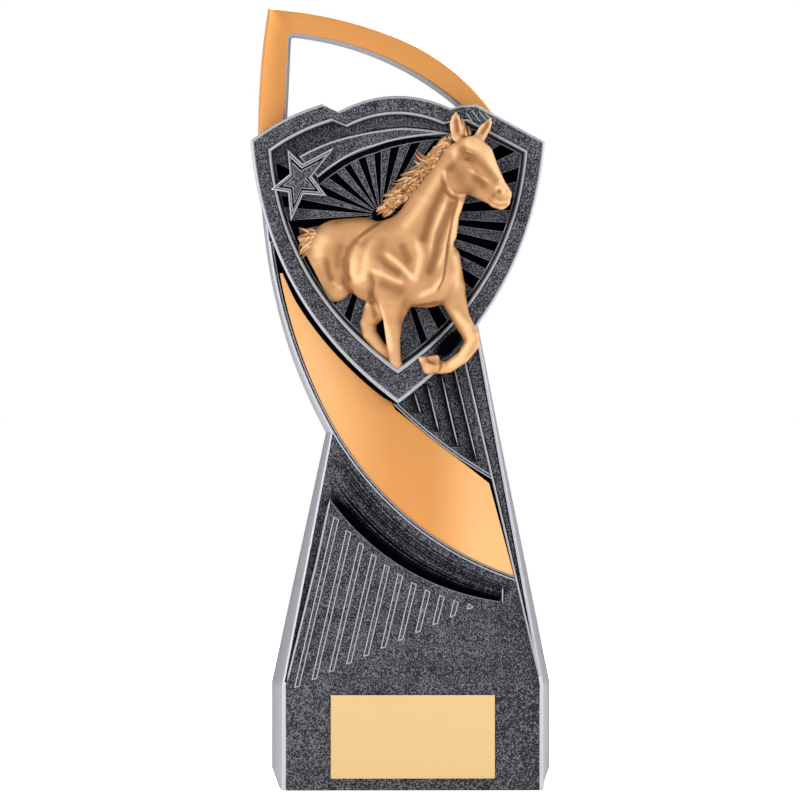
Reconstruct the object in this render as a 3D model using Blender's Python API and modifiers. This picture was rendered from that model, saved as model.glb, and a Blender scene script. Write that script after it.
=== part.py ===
"""Equestrian trophy: a leaning tower with a ribbon that loops over its top, a shield with a running horse.

Metres, +Z up, the front faces -Y. The origin is the middle of the underside.
The front and back are two planes that lean together towards the top, so every form on the front is
drawn flat, in X and Z, and given a height above that plane.
"""

import math

import bmesh
import bpy
import numpy as np
from mathutils import Vector

# Tower
HEIGHT = 0.2390
BASE_HALF_WIDTH = 0.0399
BASE_DEPTH = 0.0480
PLINTH_HEIGHT = 0.0320
LEAN = 0.084
WAIST_HEIGHT = 0.1093
WAIST_LEFT = -0.0248
SHOULDER_HEIGHT = 0.1417
SHOULDER_RIGHT = 0.0199

# How far the middle of the flanks stands out past the front and back edges, by height
FOOT_FLARE = 0.0004
FOOT_CHAMFER = 0.0090
PLINTH_FLARE = 0.0029
RIBBON_FLARE = 0.0013

# Ribbon: the loop over the top
LOOP_FOOT = (0.0245, 0.2073)
LOOP_APEX_X = -0.0432
LOOP_BOW = 0.0073
LOOP_SIDE_BOW = 0.0026
LOOP_TOP_BAND = 0.0079
LOOP_SIDE_BAND = 0.0068
LOOP_FOOT_BAND = 0.0070
OPENING_BOW = 0.0053
OPENING_CORNER = 0.0040
OPENING_FLOOR = 0.2020

# Ribbon: the sash across the front, with a rim along each side of its channel
SASH_TOP = (-0.0440, 0.1676)
SASH_SIDE_BOW = 0.0031
SASH_LOWER_BOW = 0.0070
SASH_UPPER_BOW = 0.0012
SASH_END_HEIGHT = 0.0633
SASH_UPPER_HEIGHT = 0.0955
SASH_TOP_WIDTH = 0.0122
SASH_RELIEF = 0.0007
RIM_HEIGHT = 0.0014
RIM_WIDTH = 0.0014

# Strip up the right border
STRIP_FOOT_WIDTH = 0.0010
STRIP_HEAD_WIDTH = 0.0066
STRIP_FOOT_RISE = 0.0030
STRIP_HEAD_SHARE = 0.26
STRIP_STEP = 0.0003
EDGE_INSET = 0.0003

# Cove under the sash, down to the ridge at the top of the lower face
COVE_DEPTH = 0.0034
COVE_LIP_GAP = 0.0015
RIDGE_START_HEIGHT = 0.0892
RIDGE_START_MARGIN = 0.0031
RIDGE_END_HEIGHT = 0.0575
RIDGE_END_MARGIN = 0.0063
RIDGE_BOW = 0.0064
COVE_SECTIONS = 14

# Ribs on the lower face and on the upper right panel
RIB_COUNT = 11
RIB_PITCH = 0.00527
RIB_WIDTH = 0.0017
RIB_RELIEF = 0.0007
RIB_MARGIN = 0.0046
RIB_FOOT_RISE = 0.00242
RIB_TOP_GAP = 0.0012
RIB_SHORTEST = 0.0010
PANEL_RIB_COUNT = 4
PANEL_RIB_WIDTH = 0.0009
PANEL_RIB_TILT = 0.235
PANEL_RIB_HEAD = 0.0160

# Shield
SHIELD_TIP = (-0.0045, 0.1185)
SHIELD_WIDTH = 0.0894
SHIELD_HEIGHT = 0.0933
SHIELD_HEART = 0.654
SHIELD_BACK = -0.0012
SHIELD_FRONT = 0.0085
SHIELD_FLOOR = 0.0038
SHIELD_BEVEL = 0.0006
FRAME_BAND = 0.0061
FRAME_WALL = 0.0012
TIP_BAND_SHARE = 1.3

# Low relief on the shield's floor, as heights above it, with centres as shares of the shield from its tip
RAY_COUNT = 24
RAY_RELIEF = 0.0008
RAY_SHARE = 0.52
RAY_TURN = 0.2
RAY_CENTRE = (-0.058, 0.614)
RAY_INNER_RADIUS = 0.0024
TRAIL_LENGTH = 0.0455
TRAIL_RISE = 0.0150
TRAIL_WIDTH = 0.0062
TRAIL_BOW = 0.0040
TRAIL_RELIEF = 0.0026
UNDER_TRAIL_RELIEF = 0.0017
STAR_CENTRE = (-0.338, 0.7256)
STAR_SIZE = 0.0100
STAR_RELIEF = 0.0043
STAR_GROOVE = 0.0010
STAR_BORDER_SHARE = 0.76
STAR_HEART_SHARE = 0.50

# Horse: its unit is a share of its height, from the hoof of its straight foreleg to its ears
HORSE_HEIGHT = 0.0800
HORSE_UNITS = 259
HORSE_VOXEL = 0.0008
HORSE_FACES = 0.27
HORSE_REAR_TOP = 0.82

# Engraving plate
PLATE_WIDTH = 0.0500
PLATE_HEIGHT = 0.0254
PLATE_THICKNESS = 0.0008
PLATE_TOP_MARGIN = 0.0029
GAP = 0.0003

# Arcs are drawn in steps of about this length, and joined shapes overlap by these depths
ARC_STEP = 0.0055
OVERLAP = 0.0015
SINK = 0.0040

for leftover in list(bpy.data.objects):
    bpy.data.objects.remove(leftover)

parts = bpy.data.collections.new("equestrian_trophy")
cutters = bpy.data.collections.new("cutters")
bpy.context.scene.collection.children.link(parts)
bpy.context.scene.collection.children.link(cutters)


def material(name, colour, roughness, metallic):
    made = bpy.data.materials.new(name)
    made.use_nodes = True
    shader = made.node_tree.nodes["Principled BSDF"]
    shader.inputs["Base Color"].default_value = (*colour, 1)
    shader.inputs["Roughness"].default_value = roughness
    shader.inputs["Metallic"].default_value = metallic
    made.diffuse_color = (*colour, 1)
    return made


def half_depth(z):
    """Distance of the front and back planes from the middle plane at a height."""
    return BASE_DEPTH / 2 - LEAN * (z - PLINTH_HEIGHT)


def on_face(x, z, relief):
    """The point that stands a given height in front of the leaning front plane."""
    return (x, -half_depth(z) - relief, z)


def bowed(corners):
    """A closed outline from corners (x, z) or (x, z, bow): the edge that arrives at a corner with a bow is
    an arc whose middle stands that far to the left of the edge's direction."""
    outline = []
    for before, corner in zip(corners[-1:] + corners[:-1], corners):
        start = Vector(before[:2])
        end = Vector(corner[:2])
        chord = end - start
        side = Vector((-chord.y, chord.x)).normalized()
        bow = corner[2] if len(corner) > 2 else 0
        steps = max(2, round(chord.length / ARC_STEP)) if bow else 1
        for step in range(1, steps + 1):
            share = step / steps
            outline.append(tuple(start + chord * share + side * 4 * bow * share * (1 - share)))
    return outline


def mesh_object(name, bm, collection):
    bmesh.ops.recalc_face_normals(bm, faces=bm.faces)
    mesh = bpy.data.meshes.new(name)
    bm.to_mesh(mesh)
    bm.free()
    made = bpy.data.objects.new(name, mesh)
    collection.objects.link(made)
    if collection is cutters:
        made.hide_render = True
        made.display_type = "WIRE"
    return made


def loft(name, rings, collection=cutters):
    """A closed body through rings of as many points each, capped at both ends."""
    bm = bmesh.new()
    made = [[bm.verts.new(point) for point in ring] for ring in rings]
    for near, far in zip(made[:-1], made[1:]):
        for index in range(len(near)):
            after = (index + 1) % len(near)
            bm.faces.new((near[index], near[after], far[after], far[index]))
    bm.faces.new(made[0])
    bm.faces.new(made[-1])
    return mesh_object(name, bm, collection)


def raised(name, outline, back, front, top=None):
    """A flat outline carried from one height above the front plane to another."""
    top = top or outline
    return loft(
        name,
        [[on_face(x, z, back) for x, z in outline], [on_face(x, z, front) for x, z in top]],
    )


def combine(target, tool, operation):
    """Applies a Boolean at once and removes the tool, so that the next one works on plain geometry."""
    modifier = target.modifiers.new(tool.name, "BOOLEAN")
    modifier.operation = operation
    modifier.solver = "EXACT"
    modifier.object = tool
    graph = bpy.context.evaluated_depsgraph_get()
    result = bpy.data.meshes.new_from_object(target.evaluated_get(graph))
    target.modifiers.clear()
    target.data = result
    bpy.data.objects.remove(tool)


def weld_small_edges(target):
    """Takes out the slivers that Booleans leave, which are far below what a mould could hold."""
    distance = 0.000002
    bm = bmesh.new()
    bm.from_mesh(target.data)
    bmesh.ops.remove_doubles(bm, verts=bm.verts, dist=distance)
    bmesh.ops.dissolve_degenerate(bm, edges=bm.edges, dist=distance)
    bmesh.ops.triangulate(bm, faces=bm.faces)
    bm.to_mesh(target.data)
    bm.free()


# Body: the tower's outline and the ribbon's, drawn as one, flaring to the middle plane
def body_outline():
    return bowed([
        (-BASE_HALF_WIDTH, 0),
        (BASE_HALF_WIDTH, 0),
        (BASE_HALF_WIDTH, FOOT_CHAMFER),
        (BASE_HALF_WIDTH, PLINTH_HEIGHT),
        (SHOULDER_RIGHT, SHOULDER_HEIGHT),
        LOOP_FOOT,
        (LOOP_APEX_X, HEIGHT, -LOOP_BOW),
        (*SASH_TOP, -LOOP_SIDE_BOW),
        (WAIST_LEFT, WAIST_HEIGHT, -SASH_SIDE_BOW),
        (-BASE_HALF_WIDTH, PLINTH_HEIGHT),
        (-BASE_HALF_WIDTH, FOOT_CHAMFER),
    ])


def flare_at(z):
    heights = [0, FOOT_CHAMFER, PLINTH_HEIGHT, WAIST_HEIGHT, HEIGHT]
    flares = [FOOT_FLARE, PLINTH_FLARE, PLINTH_FLARE, RIBBON_FLARE, RIBBON_FLARE]
    return float(np.interp(z, heights, flares))


def flared(outline, sign):
    """The outline moved outwards (sign 1) or inwards (sign -1) by the flare at each height."""
    moved = []
    count = len(outline)
    for index, (x, z) in enumerate(outline):
        back = Vector(outline[index]) - Vector(outline[index - 1])
        ahead = Vector(outline[(index + 1) % count]) - Vector(outline[index])
        along = back.normalized() + ahead.normalized()
        out = Vector((along.y, -along.x)).normalized() * sign * flare_at(z)
        moved.append((x + out.x, max(0, z + out.y) if z > 0 else 0))
    return moved


def slab(name, outline, sign, margin):
    """A body between the front and back planes, flared at its middle plane."""
    rings = []
    for side, points in ((-1, outline), (0, flared(outline, sign)), (1, outline)):
        rings.append([(x, side * (half_depth(z) + margin), z) for x, z in points])
    return loft(name, rings)


def opening_outline():
    left = LOOP_APEX_X - LOOP_SIDE_BOW + LOOP_SIDE_BAND
    top = HEIGHT - LOOP_TOP_BAND
    return bowed([
        (left, OPENING_FLOOR),
        (LOOP_FOOT[0] - LOOP_FOOT_BAND, LOOP_FOOT[1] - LOOP_FOOT_BAND / 2),
        (left + OPENING_CORNER, top, -OPENING_BOW),
        (left + 0.3 * OPENING_CORNER, top - 0.3 * OPENING_CORNER),
    ])


def base_box():
    """A box as deep as the base: it keeps the plinth's front and back upright."""
    bm = bmesh.new()
    bmesh.ops.create_cube(bm, size=1)
    bmesh.ops.scale(bm, verts=bm.verts, vec=(4 * BASE_HALF_WIDTH, BASE_DEPTH, 2 * HEIGHT))
    bmesh.ops.translate(bm, verts=bm.verts, vec=(0, 0, HEIGHT))
    return mesh_object("upright_limits", bm, cutters)


def make_body():
    body = slab("resin_casting", body_outline(), 1, 0)
    cutters.objects.unlink(body)
    parts.objects.link(body)
    body.hide_render = False
    body.display_type = "TEXTURED"
    combine(body, base_box(), "INTERSECT")
    combine(body, slab("loop_opening", opening_outline(), -1, OVERLAP), "DIFFERENCE")
    return body


# Strip up the right border, and the sash with its two rims
def right_edge(z):
    rise = (z - PLINTH_HEIGHT) / (SHOULDER_HEIGHT - PLINTH_HEIGHT)
    return BASE_HALF_WIDTH + (SHOULDER_RIGHT - BASE_HALF_WIDTH) * rise


def left_edge(z):
    rise = (z - PLINTH_HEIGHT) / (WAIST_HEIGHT - PLINTH_HEIGHT)
    return -BASE_HALF_WIDTH + (WAIST_LEFT + BASE_HALF_WIDTH) * rise


def strip_inner(z):
    rise = (z - PLINTH_HEIGHT) / (SHOULDER_HEIGHT - PLINTH_HEIGHT)
    return right_edge(z) - STRIP_FOOT_WIDTH - (STRIP_HEAD_WIDTH - STRIP_FOOT_WIDTH) * rise


def strip_outline():
    foot = PLINTH_HEIGHT + STRIP_FOOT_RISE
    head = SHIELD_TIP[1] + STRIP_HEAD_SHARE * SHIELD_HEIGHT
    return [
        (strip_inner(foot), foot),
        (right_edge(foot) - EDGE_INSET, foot),
        (right_edge(head) - EDGE_INSET, head),
        (strip_inner(head), head),
    ]


def sash_outline(inset):
    """The sash's front, which runs under the strip and the shield, or its channel inside rims of a width."""
    lower = (strip_inner(SASH_END_HEIGHT) + OVERLAP, SASH_END_HEIGHT)
    upper = (strip_inner(SASH_UPPER_HEIGHT) + OVERLAP, SASH_UPPER_HEIGHT)
    return bowed([
        (SASH_TOP[0] + 1.2 * inset + EDGE_INSET, SASH_TOP[1]),
        (WAIST_LEFT + inset + EDGE_INSET, WAIST_HEIGHT, -SASH_SIDE_BOW),
        (lower[0] - 1.3 * inset, lower[1] + 0.9 * inset, -SASH_LOWER_BOW),
        (upper[0] - 1.6 * inset, upper[1] - 0.8 * inset),
        (SHIELD_TIP[0] - 0.4 * inset, SHIELD_TIP[1] - 0.9 * inset - EDGE_INSET, SASH_UPPER_BOW),
        (SASH_TOP[0] + SASH_TOP_WIDTH + EDGE_INSET, SASH_TOP[1]),
    ])


def add_ribbon(body):
    combine(body, raised("sash", sash_outline(0), -SINK, RIM_HEIGHT), "UNION")
    combine(body, raised("sash_channel", sash_outline(RIM_WIDTH), SASH_RELIEF, 2 * RIM_HEIGHT), "DIFFERENCE")
    combine(body, raised("strip", strip_outline(), -SINK, RIM_HEIGHT + STRIP_STEP), "UNION")


# Cove: a hollow channel between the sash and the top edge of the lower face
def on_arc(start, end, bow, share):
    """The point at a share of the way along an arc that sags to the right of its direction."""
    start = Vector(start)
    chord = Vector(end) - start
    side = Vector((chord.y, -chord.x)).normalized()
    return start + chord * share + side * 4 * bow * share * (1 - share)


def cove_lip(share):
    start = (WAIST_LEFT + COVE_LIP_GAP, WAIST_HEIGHT - 2 * COVE_LIP_GAP)
    end = (strip_inner(SASH_END_HEIGHT), SASH_END_HEIGHT - COVE_LIP_GAP)
    return on_arc(start, end, SASH_LOWER_BOW, share)


def cove_ridge(share):
    start = (left_edge(RIDGE_START_HEIGHT) + RIDGE_START_MARGIN, RIDGE_START_HEIGHT)
    end = (strip_inner(RIDGE_END_HEIGHT) - RIDGE_END_MARGIN, RIDGE_END_HEIGHT)
    return on_arc(start, end, RIDGE_BOW, share)


def add_cove(body):
    """The cutter's sections cross the channel: shallow at the sash, deepest under the ridge."""
    sections = []
    for step in range(COVE_SECTIONS + 1):
        share = step / COVE_SECTIONS
        lip = cove_lip(share)
        ridge = cove_ridge(share)
        depth = COVE_DEPTH * math.sin(math.pi * (0.06 + 0.84 * share)) ** 0.6
        section = []
        for across, sink in ((0, -0.5), (0, 0.08), (0.35, 0.42), (0.72, 0.88), (0.97, 1), (1, -0.5)):
            place = lip.lerp(ridge, across)
            section.append(on_face(place.x, place.y, -sink * depth))
        sections.append(section)
    combine(body, loft("cove", sections), "DIFFERENCE")


# Ribs: slanted strips that end on the cove's ridge, and thin ones beside the strip
def rib_top(foot, slope):
    """The height at which a rib's line meets the ridge."""
    tries = 200
    for step in range(tries + 1):
        ridge = cove_ridge(step / tries)
        if ridge.x >= foot.x + slope * (ridge.y - foot.y):
            return ridge.y
    return foot.y


def add_ribs(body):
    slope = (left_edge(WAIST_HEIGHT) - left_edge(PLINTH_HEIGHT)) / (WAIST_HEIGHT - PLINTH_HEIGHT)
    for index in range(RIB_COUNT):
        foot = Vector((
            left_edge(PLINTH_HEIGHT) + RIB_MARGIN + index * RIB_PITCH,
            PLINTH_HEIGHT + EDGE_INSET + index * RIB_FOOT_RISE,
        ))
        top = rib_top(foot, slope) - RIB_TOP_GAP
        if top < foot.y + RIB_SHORTEST:
            continue
        run = slope * (top - foot.y)
        outline = [
            (foot.x, foot.y),
            (foot.x + RIB_WIDTH, foot.y + RIB_WIDTH / 4),
            (foot.x + RIB_WIDTH + run, top - RIB_WIDTH / 2),
            (foot.x + run, top),
        ]
        combine(body, raised(f"rib_{index + 1}", outline, -SINK, RIB_RELIEF), "UNION")


def add_panel_ribs(body):
    """They hang from under the shield and stop at the sash's upper rim."""
    start = Vector((SHIELD_TIP[0] + 2 * PANEL_RIB_WIDTH, SHIELD_TIP[1]))
    end = Vector((strip_inner(SASH_UPPER_HEIGHT), SASH_UPPER_HEIGHT))
    for index in range(PANEL_RIB_COUNT):
        share = (index + 0.6) / PANEL_RIB_COUNT
        foot = start.lerp(end, share)
        head_z = SHIELD_TIP[1] + PANEL_RIB_HEAD * (0.25 + 0.75 * share)
        head_x = foot.x - PANEL_RIB_TILT * (head_z - foot.y)
        outline = [
            (foot.x, foot.y + EDGE_INSET),
            (foot.x + PANEL_RIB_WIDTH, foot.y + EDGE_INSET),
            (head_x + PANEL_RIB_WIDTH, head_z),
            (head_x, head_z),
        ]
        combine(body, raised(f"panel_rib_{index + 1}", outline, -SINK, RIB_RELIEF), "UNION")


# Shield: corners as shares of its width and height from its tip, with bows as shares of its height
SHIELD_CORNERS = (
    (0, 0, -0.112),
    (0.498, 0.846, -0.112),
    (0.273, 0.964, 0),
    (0.222, 0.967, 0),
    (0.184, 0.9575, 0),
    (-0.201, 0.948, -0.046),
    (-0.257, 0.972, 0),
    (-0.502, 0.853, -0.012),
)


def shield_outline(band):
    """The shield's outline, or the line that a frame of the given width leaves inside it."""
    outer = bowed([
        (SHIELD_TIP[0] + u * SHIELD_WIDTH, SHIELD_TIP[1] + v * SHIELD_HEIGHT, bow * SHIELD_HEIGHT)
        for u, v, bow in SHIELD_CORNERS
    ])
    heart = SHIELD_TIP[1] + SHIELD_HEART * SHIELD_HEIGHT
    across = 1 - 2 * band / SHIELD_WIDTH
    along = 1 - 2 * TIP_BAND_SHARE * band / SHIELD_HEIGHT
    return [(SHIELD_TIP[0] + (x - SHIELD_TIP[0]) * across, heart + (z - heart) * along) for x, z in outer]


def add_shield(body):
    outer = shield_outline(0)
    edge = shield_outline(SHIELD_BEVEL)
    plate = loft("shield", [
        [on_face(x, z, SHIELD_BACK) for x, z in outer],
        [on_face(x, z, SHIELD_FRONT - SHIELD_BEVEL) for x, z in outer],
        [on_face(x, z, SHIELD_FRONT) for x, z in edge],
    ])
    slope = FRAME_WALL / (SHIELD_FRONT - SHIELD_FLOOR)
    lip = shield_outline(FRAME_BAND - slope * OVERLAP)
    floor = shield_outline(FRAME_BAND + FRAME_WALL)
    recess = raised("recess", floor, SHIELD_FLOOR, SHIELD_FRONT + OVERLAP, top=lip)
    combine(plate, recess, "DIFFERENCE")
    combine(body, plate, "UNION")


def on_shield(u, v):
    """The point at a share of the shield's width and height from its tip."""
    return Vector((SHIELD_TIP[0] + u * SHIELD_WIDTH, SHIELD_TIP[1] + v * SHIELD_HEIGHT))


def add_rays(body):
    """Wedges round the fan's centre, trimmed to the frame's inner wall."""
    centre = on_shield(*RAY_CENTRE)
    reach = SHIELD_WIDTH
    pitch = 2 * math.pi / RAY_COUNT
    field = raised(
        "ray_field",
        shield_outline(FRAME_BAND + FRAME_WALL / 2),
        SHIELD_FLOOR - OVERLAP,
        SHIELD_FLOOR + RAY_RELIEF,
    )
    bm = bmesh.new()
    for index in range(RAY_COUNT):
        corners = []
        for side, radius in ((-1, RAY_INNER_RADIUS), (1, RAY_INNER_RADIUS), (1, reach), (-1, reach)):
            angle = (index + RAY_TURN) * pitch + side * RAY_SHARE * pitch / 2
            corners.append(centre + radius * Vector((math.cos(angle), math.sin(angle))))
        rings = [
            [bm.verts.new(on_face(corner.x, corner.y, height)) for corner in corners]
            for height in (SHIELD_FLOOR - 2 * OVERLAP, SHIELD_FRONT)
        ]
        for near, after in ((0, 1), (1, 2), (2, 3), (3, 0)):
            bm.faces.new((rings[0][near], rings[0][after], rings[1][after], rings[1][near]))
        bm.faces.new(rings[0])
        bm.faces.new(rings[1])
    wedges = mesh_object("ray_wedges", bm, cutters)
    combine(field, wedges, "INTERSECT")
    combine(body, field, "UNION")


def add_trail(body):
    """Two swept bands that follow the star."""
    x, z = on_shield(*STAR_CENTRE)
    end = (x + TRAIL_LENGTH, z + TRAIL_RISE)
    band = bowed([
        (x + 0.8 * TRAIL_WIDTH, z + 0.15 * TRAIL_WIDTH),
        (*end, TRAIL_BOW),
        (end[0], end[1] + 0.13 * TRAIL_WIDTH),
        (x - 0.15 * TRAIL_WIDTH, z + 1.15 * TRAIL_WIDTH, -TRAIL_BOW),
    ])
    under = bowed([
        (x - TRAIL_WIDTH, z + TRAIL_WIDTH),
        (x - 0.3 * TRAIL_WIDTH, z + 0.65 * TRAIL_WIDTH),
        (end[0] - TRAIL_WIDTH, end[1] + 0.24 * TRAIL_WIDTH, TRAIL_BOW),
        (x + 2.3 * TRAIL_WIDTH, end[1], -TRAIL_BOW / 4),
        (x + 1.7 * TRAIL_WIDTH, end[1] + 0.45 * TRAIL_WIDTH),
    ])
    low = SHIELD_FLOOR - OVERLAP
    combine(body, raised("under_trail", under, low, SHIELD_FLOOR + UNDER_TRAIL_RELIEF), "UNION")
    combine(body, raised("trail", band, low, SHIELD_FLOOR + TRAIL_RELIEF), "UNION")


# Star: tips and notches as (degrees, share of its size) round its centre
STAR_POINTS = (
    (42, 1.47), (77, 0.53), (110, 0.97), (144, 0.34), (197, 0.90),
    (228, 0.50), (259, 1.29), (288, 0.45), (331, 0.95), (378, 0.42),
)


def star_outline(scale):
    centre = on_shield(*STAR_CENTRE)
    outline = []
    for degrees, share in STAR_POINTS:
        angle = math.radians(degrees)
        outline.append(tuple(centre + share * scale * STAR_SIZE * Vector((math.cos(angle), math.sin(angle)))))
    return outline


def add_star(body):
    low = SHIELD_FLOOR - OVERLAP
    top = SHIELD_FLOOR + STAR_RELIEF
    combine(body, raised("star", star_outline(1), low, top), "UNION")
    groove = raised("star_groove", star_outline(STAR_BORDER_SHARE), top - STAR_GROOVE, top + OVERLAP)
    combine(body, groove, "DIFFERENCE")
    inner = raised("star_heart", star_outline(STAR_HEART_SHARE), top - STAR_GROOVE - OVERLAP, top)
    combine(body, inner, "UNION")


# Horse: each form is a chain of balls (across, up, out from the floor, radius), flattened in depth
HORSE_FORMS = (
    ("rump", 0.55, (-62, 150, 0, 30), (-40, 152, 3, 30)),
    ("croup", 0.60, (-58, 160, 2, 22), (-34, 162, 6, 22)),
    ("thigh", 0.60, (-68, 140, 2, 24), (-60, 115, 4, 15)),
    ("tail", 0.80, (-84, 168, 4, 5), (-94, 160, 2, 8), (-90, 144, 2, 8)),
    ("flank", 0.60, (-40, 140, 4, 30), (-24, 130, 8, 32)),
    ("barrel", 0.75, (-22, 134, 10, 30), (-8, 132, 14, 34)),
    ("withers", 0.80, (-14, 168, 10, 14), (4, 166, 14, 22)),
    ("shoulder", 0.80, (-4, 158, 16, 24), (2, 124, 18, 30)),
    ("chest", 0.85, (24, 150, 20, 28), (28, 124, 20, 30)),
    ("far_breast", 0.85, (44, 142, 16, 18), (50, 116, 16, 16)),
    ("near_arm", 0.90, (-6, 112, 24, 18), (-4, 96, 24, 14)),
    ("neck", 0.80, (20, 164, 18, 30), (34, 196, 20, 24), (50, 226, 22, 17), (58, 246, 24, 13)),
    ("throat", 0.90, (50, 170, 20, 11), (56, 200, 24, 9)),
    ("mane", 0.60, (-6, 188, 14, 8), (14, 222, 16, 10), (38, 256, 20, 9), (52, 268, 24, 6)),
    ("skull", 0.90, (72, 252, 28, 14), (80, 240, 28, 13)),
    ("cheek", 0.75, (64, 222, 30, 15), (67, 232, 30, 14)),
    ("face", 0.85, (82, 240, 28, 13), (98, 212, 28, 9), (103, 203, 28, 9)),
    ("jaw", 0.80, (70, 220, 28, 12), (92, 206, 28, 8)),
    ("near_ear", 0.70, (60, 264, 28, 6), (59, 278, 28, 4.5), (57.5, 288, 28, 2)),
    ("far_ear", 0.70, (82, 262, 26, 5.5), (87, 274, 26, 4), (91, 282, 26, 2)),
    ("near_foreleg", 0.90, (-4, 100, 24, 15), (-5, 78, 22, 9), (-5, 62, 18, 7)),
    ("near_cannon", 0.90, (-5, 62, 18, 7), (-3, 42, 12, 6), (0, 34, 8, 6)),
    ("far_forearm", 0.90, (52, 112, 18, 14), (62, 84, 20, 9), (72, 66, 20, 8)),
    ("far_knee", 0.90, (72, 66, 20, 8), (73, 58, 20, 7.5), (64, 46, 20, 6.5)),
    ("far_cannon", 0.90, (64, 46, 20, 6.5), (50, 35, 18, 6), (42, 34, 18, 6)),
    ("far_hoof", 0.90, (42, 34, 18, 6), (28, 38, 17, 8)),
    ("hind_leg", 0.90, (-22, 92, 8, 11), (-29, 76, 8, 7), (-26, 64, 8, 6.5), (-14, 50, 7, 6), (-4, 40, 5, 5)),
)


def ball_chain(bm, flat, balls, unit):
    """Balls joined pair by pair with their convex hulls, flattened towards their own depth."""
    for near, far in zip(balls[:-1], balls[1:]):
        hull = bmesh.new()
        for across, up, out, radius in (near, far):
            made = bmesh.ops.create_icosphere(hull, subdivisions=2, radius=radius * unit)["verts"]
            for vert in made:
                vert.co.y *= flat
                vert.co += Vector((across * unit, -out * unit, up * unit))
        whole = bmesh.ops.convex_hull(hull, input=hull.verts)
        inside = [piece for piece in whole["geom_interior"] if isinstance(piece, bmesh.types.BMVert)]
        bmesh.ops.delete(hull, geom=inside, context="VERTS")
        piece = bpy.data.meshes.new("link")
        hull.to_mesh(piece)
        hull.free()
        bm.from_mesh(piece)
        bpy.data.meshes.remove(piece)


def make_horse():
    unit = HORSE_HEIGHT / HORSE_UNITS
    bm = bmesh.new()
    for _, flat, *balls in HORSE_FORMS:
        ball_chain(bm, flat, balls, unit)
    horse = mesh_object("horse", bm, cutters)
    remesh = horse.modifiers.new("skin", "REMESH")
    remesh.mode = "VOXEL"
    remesh.voxel_size = HORSE_VOXEL
    smooth = horse.modifiers.new("smooth", "SMOOTH")
    smooth.iterations = 5
    smooth.factor = 0.6
    reduce = horse.modifiers.new("reduce", "DECIMATE")
    reduce.ratio = HORSE_FACES
    graph = bpy.context.evaluated_depsgraph_get()
    horse.data = bpy.data.meshes.new_from_object(horse.evaluated_get(graph))
    horse.modifiers.clear()
    for vert in horse.data.vertices:
        x = SHIELD_TIP[0] + vert.co.x
        z = SHIELD_TIP[1] + vert.co.z
        vert.co = on_face(x, z, SHIELD_FLOOR - vert.co.y)
    return horse


def horse_limits():
    """The frame's inner line on the left of the tip, and open ground on the right and above."""
    inner = shield_outline(FRAME_BAND + FRAME_WALL / 2)
    left = [point for point in inner if point[0] < SHIELD_TIP[0] and point[1] < on_shield(0, HORSE_REAR_TOP)[1]]
    left.sort(key=lambda point: point[1])
    right, above = on_shield(1, 1.2)
    below = min(z for _, z in inner) - SHIELD_HEIGHT / 4
    return [(right, below), (SHIELD_TIP[0] + FRAME_BAND, below), *left, (left[-1][0], above), (right, above)]


def add_horse(body):
    """The rump and tail stop at the frame's inner wall, as if the frame had cut them off."""
    horse = make_horse()
    limits = raised("horse_limits", horse_limits(), SHIELD_BACK + EDGE_INSET, SHIELD_FRONT + HORSE_HEIGHT)
    combine(horse, limits, "INTERSECT")
    combine(body, horse, "UNION")


def make_plate():
    bm = bmesh.new()
    bmesh.ops.create_cube(bm, size=1)
    bmesh.ops.scale(bm, verts=bm.verts, vec=(PLATE_WIDTH, PLATE_THICKNESS, PLATE_HEIGHT))
    plate = mesh_object("engraving_plate", bm, parts)
    front = BASE_DEPTH / 2 + GAP + PLATE_THICKNESS / 2
    plate.location = (0, -front, PLINTH_HEIGHT - PLATE_TOP_MARGIN - PLATE_HEIGHT / 2)
    plate.data.materials.append(material("engraving_metal", (0.80, 0.60, 0.30), 0.32, 0.9))


body = make_body()
add_ribbon(body)
add_cove(body)
add_ribs(body)
add_panel_ribs(body)
add_shield(body)
add_rays(body)
add_trail(body)
add_star(body)
add_horse(body)
weld_small_edges(body)
body.data.materials.clear()
body.data.materials.append(material("antique_pewter", (0.09, 0.09, 0.11), 0.45, 0.6))
make_plate()
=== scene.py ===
"""Looks of an equestrian trophy: a cast resin column with a ribbon, a shield and a running horse.

Drawn shapes are in millimetres, as (across, up) on the leaning front, and a height stands out from it.
The front and back planes lean together towards the top, and the front faces -Y.
"""

import math

import bpy
import numpy as np
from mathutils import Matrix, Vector
from mathutils.geometry import delaunay_2d_cdt


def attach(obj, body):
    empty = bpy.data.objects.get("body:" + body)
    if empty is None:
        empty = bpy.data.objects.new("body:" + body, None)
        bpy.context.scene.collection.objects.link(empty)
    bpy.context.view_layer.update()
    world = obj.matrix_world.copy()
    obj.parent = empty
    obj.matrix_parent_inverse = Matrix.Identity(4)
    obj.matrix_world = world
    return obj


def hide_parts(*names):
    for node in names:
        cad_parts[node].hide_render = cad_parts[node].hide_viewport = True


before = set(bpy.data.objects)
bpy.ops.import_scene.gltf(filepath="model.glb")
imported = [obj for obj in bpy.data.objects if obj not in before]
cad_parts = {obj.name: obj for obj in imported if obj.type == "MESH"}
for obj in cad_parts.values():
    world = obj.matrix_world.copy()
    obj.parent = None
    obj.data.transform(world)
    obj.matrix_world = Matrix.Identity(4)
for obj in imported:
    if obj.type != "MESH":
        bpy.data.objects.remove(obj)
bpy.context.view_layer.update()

# Studio
# A level camera a little to the left of the front, a pale floor that glows faintly and large soft lamps.
# The room's own light is even, and half as strong as the white backdrop that the camera sees.
VIEW_TARGET = Vector((-0.0039, -0.024, 0.1191))
VIEW_AZIMUTH = math.radians(-1.4)
VIEW_DISTANCE = 2.2
VIEW_HEIGHT = 0.244
SENSOR = 36
FLOOR_HALF = 40.0
FLOOR_COLOUR = (0.90, 0.90, 0.90, 1)
FLOOR_GLOW = 0.55
ROOM_LIGHT = 0.5
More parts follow.
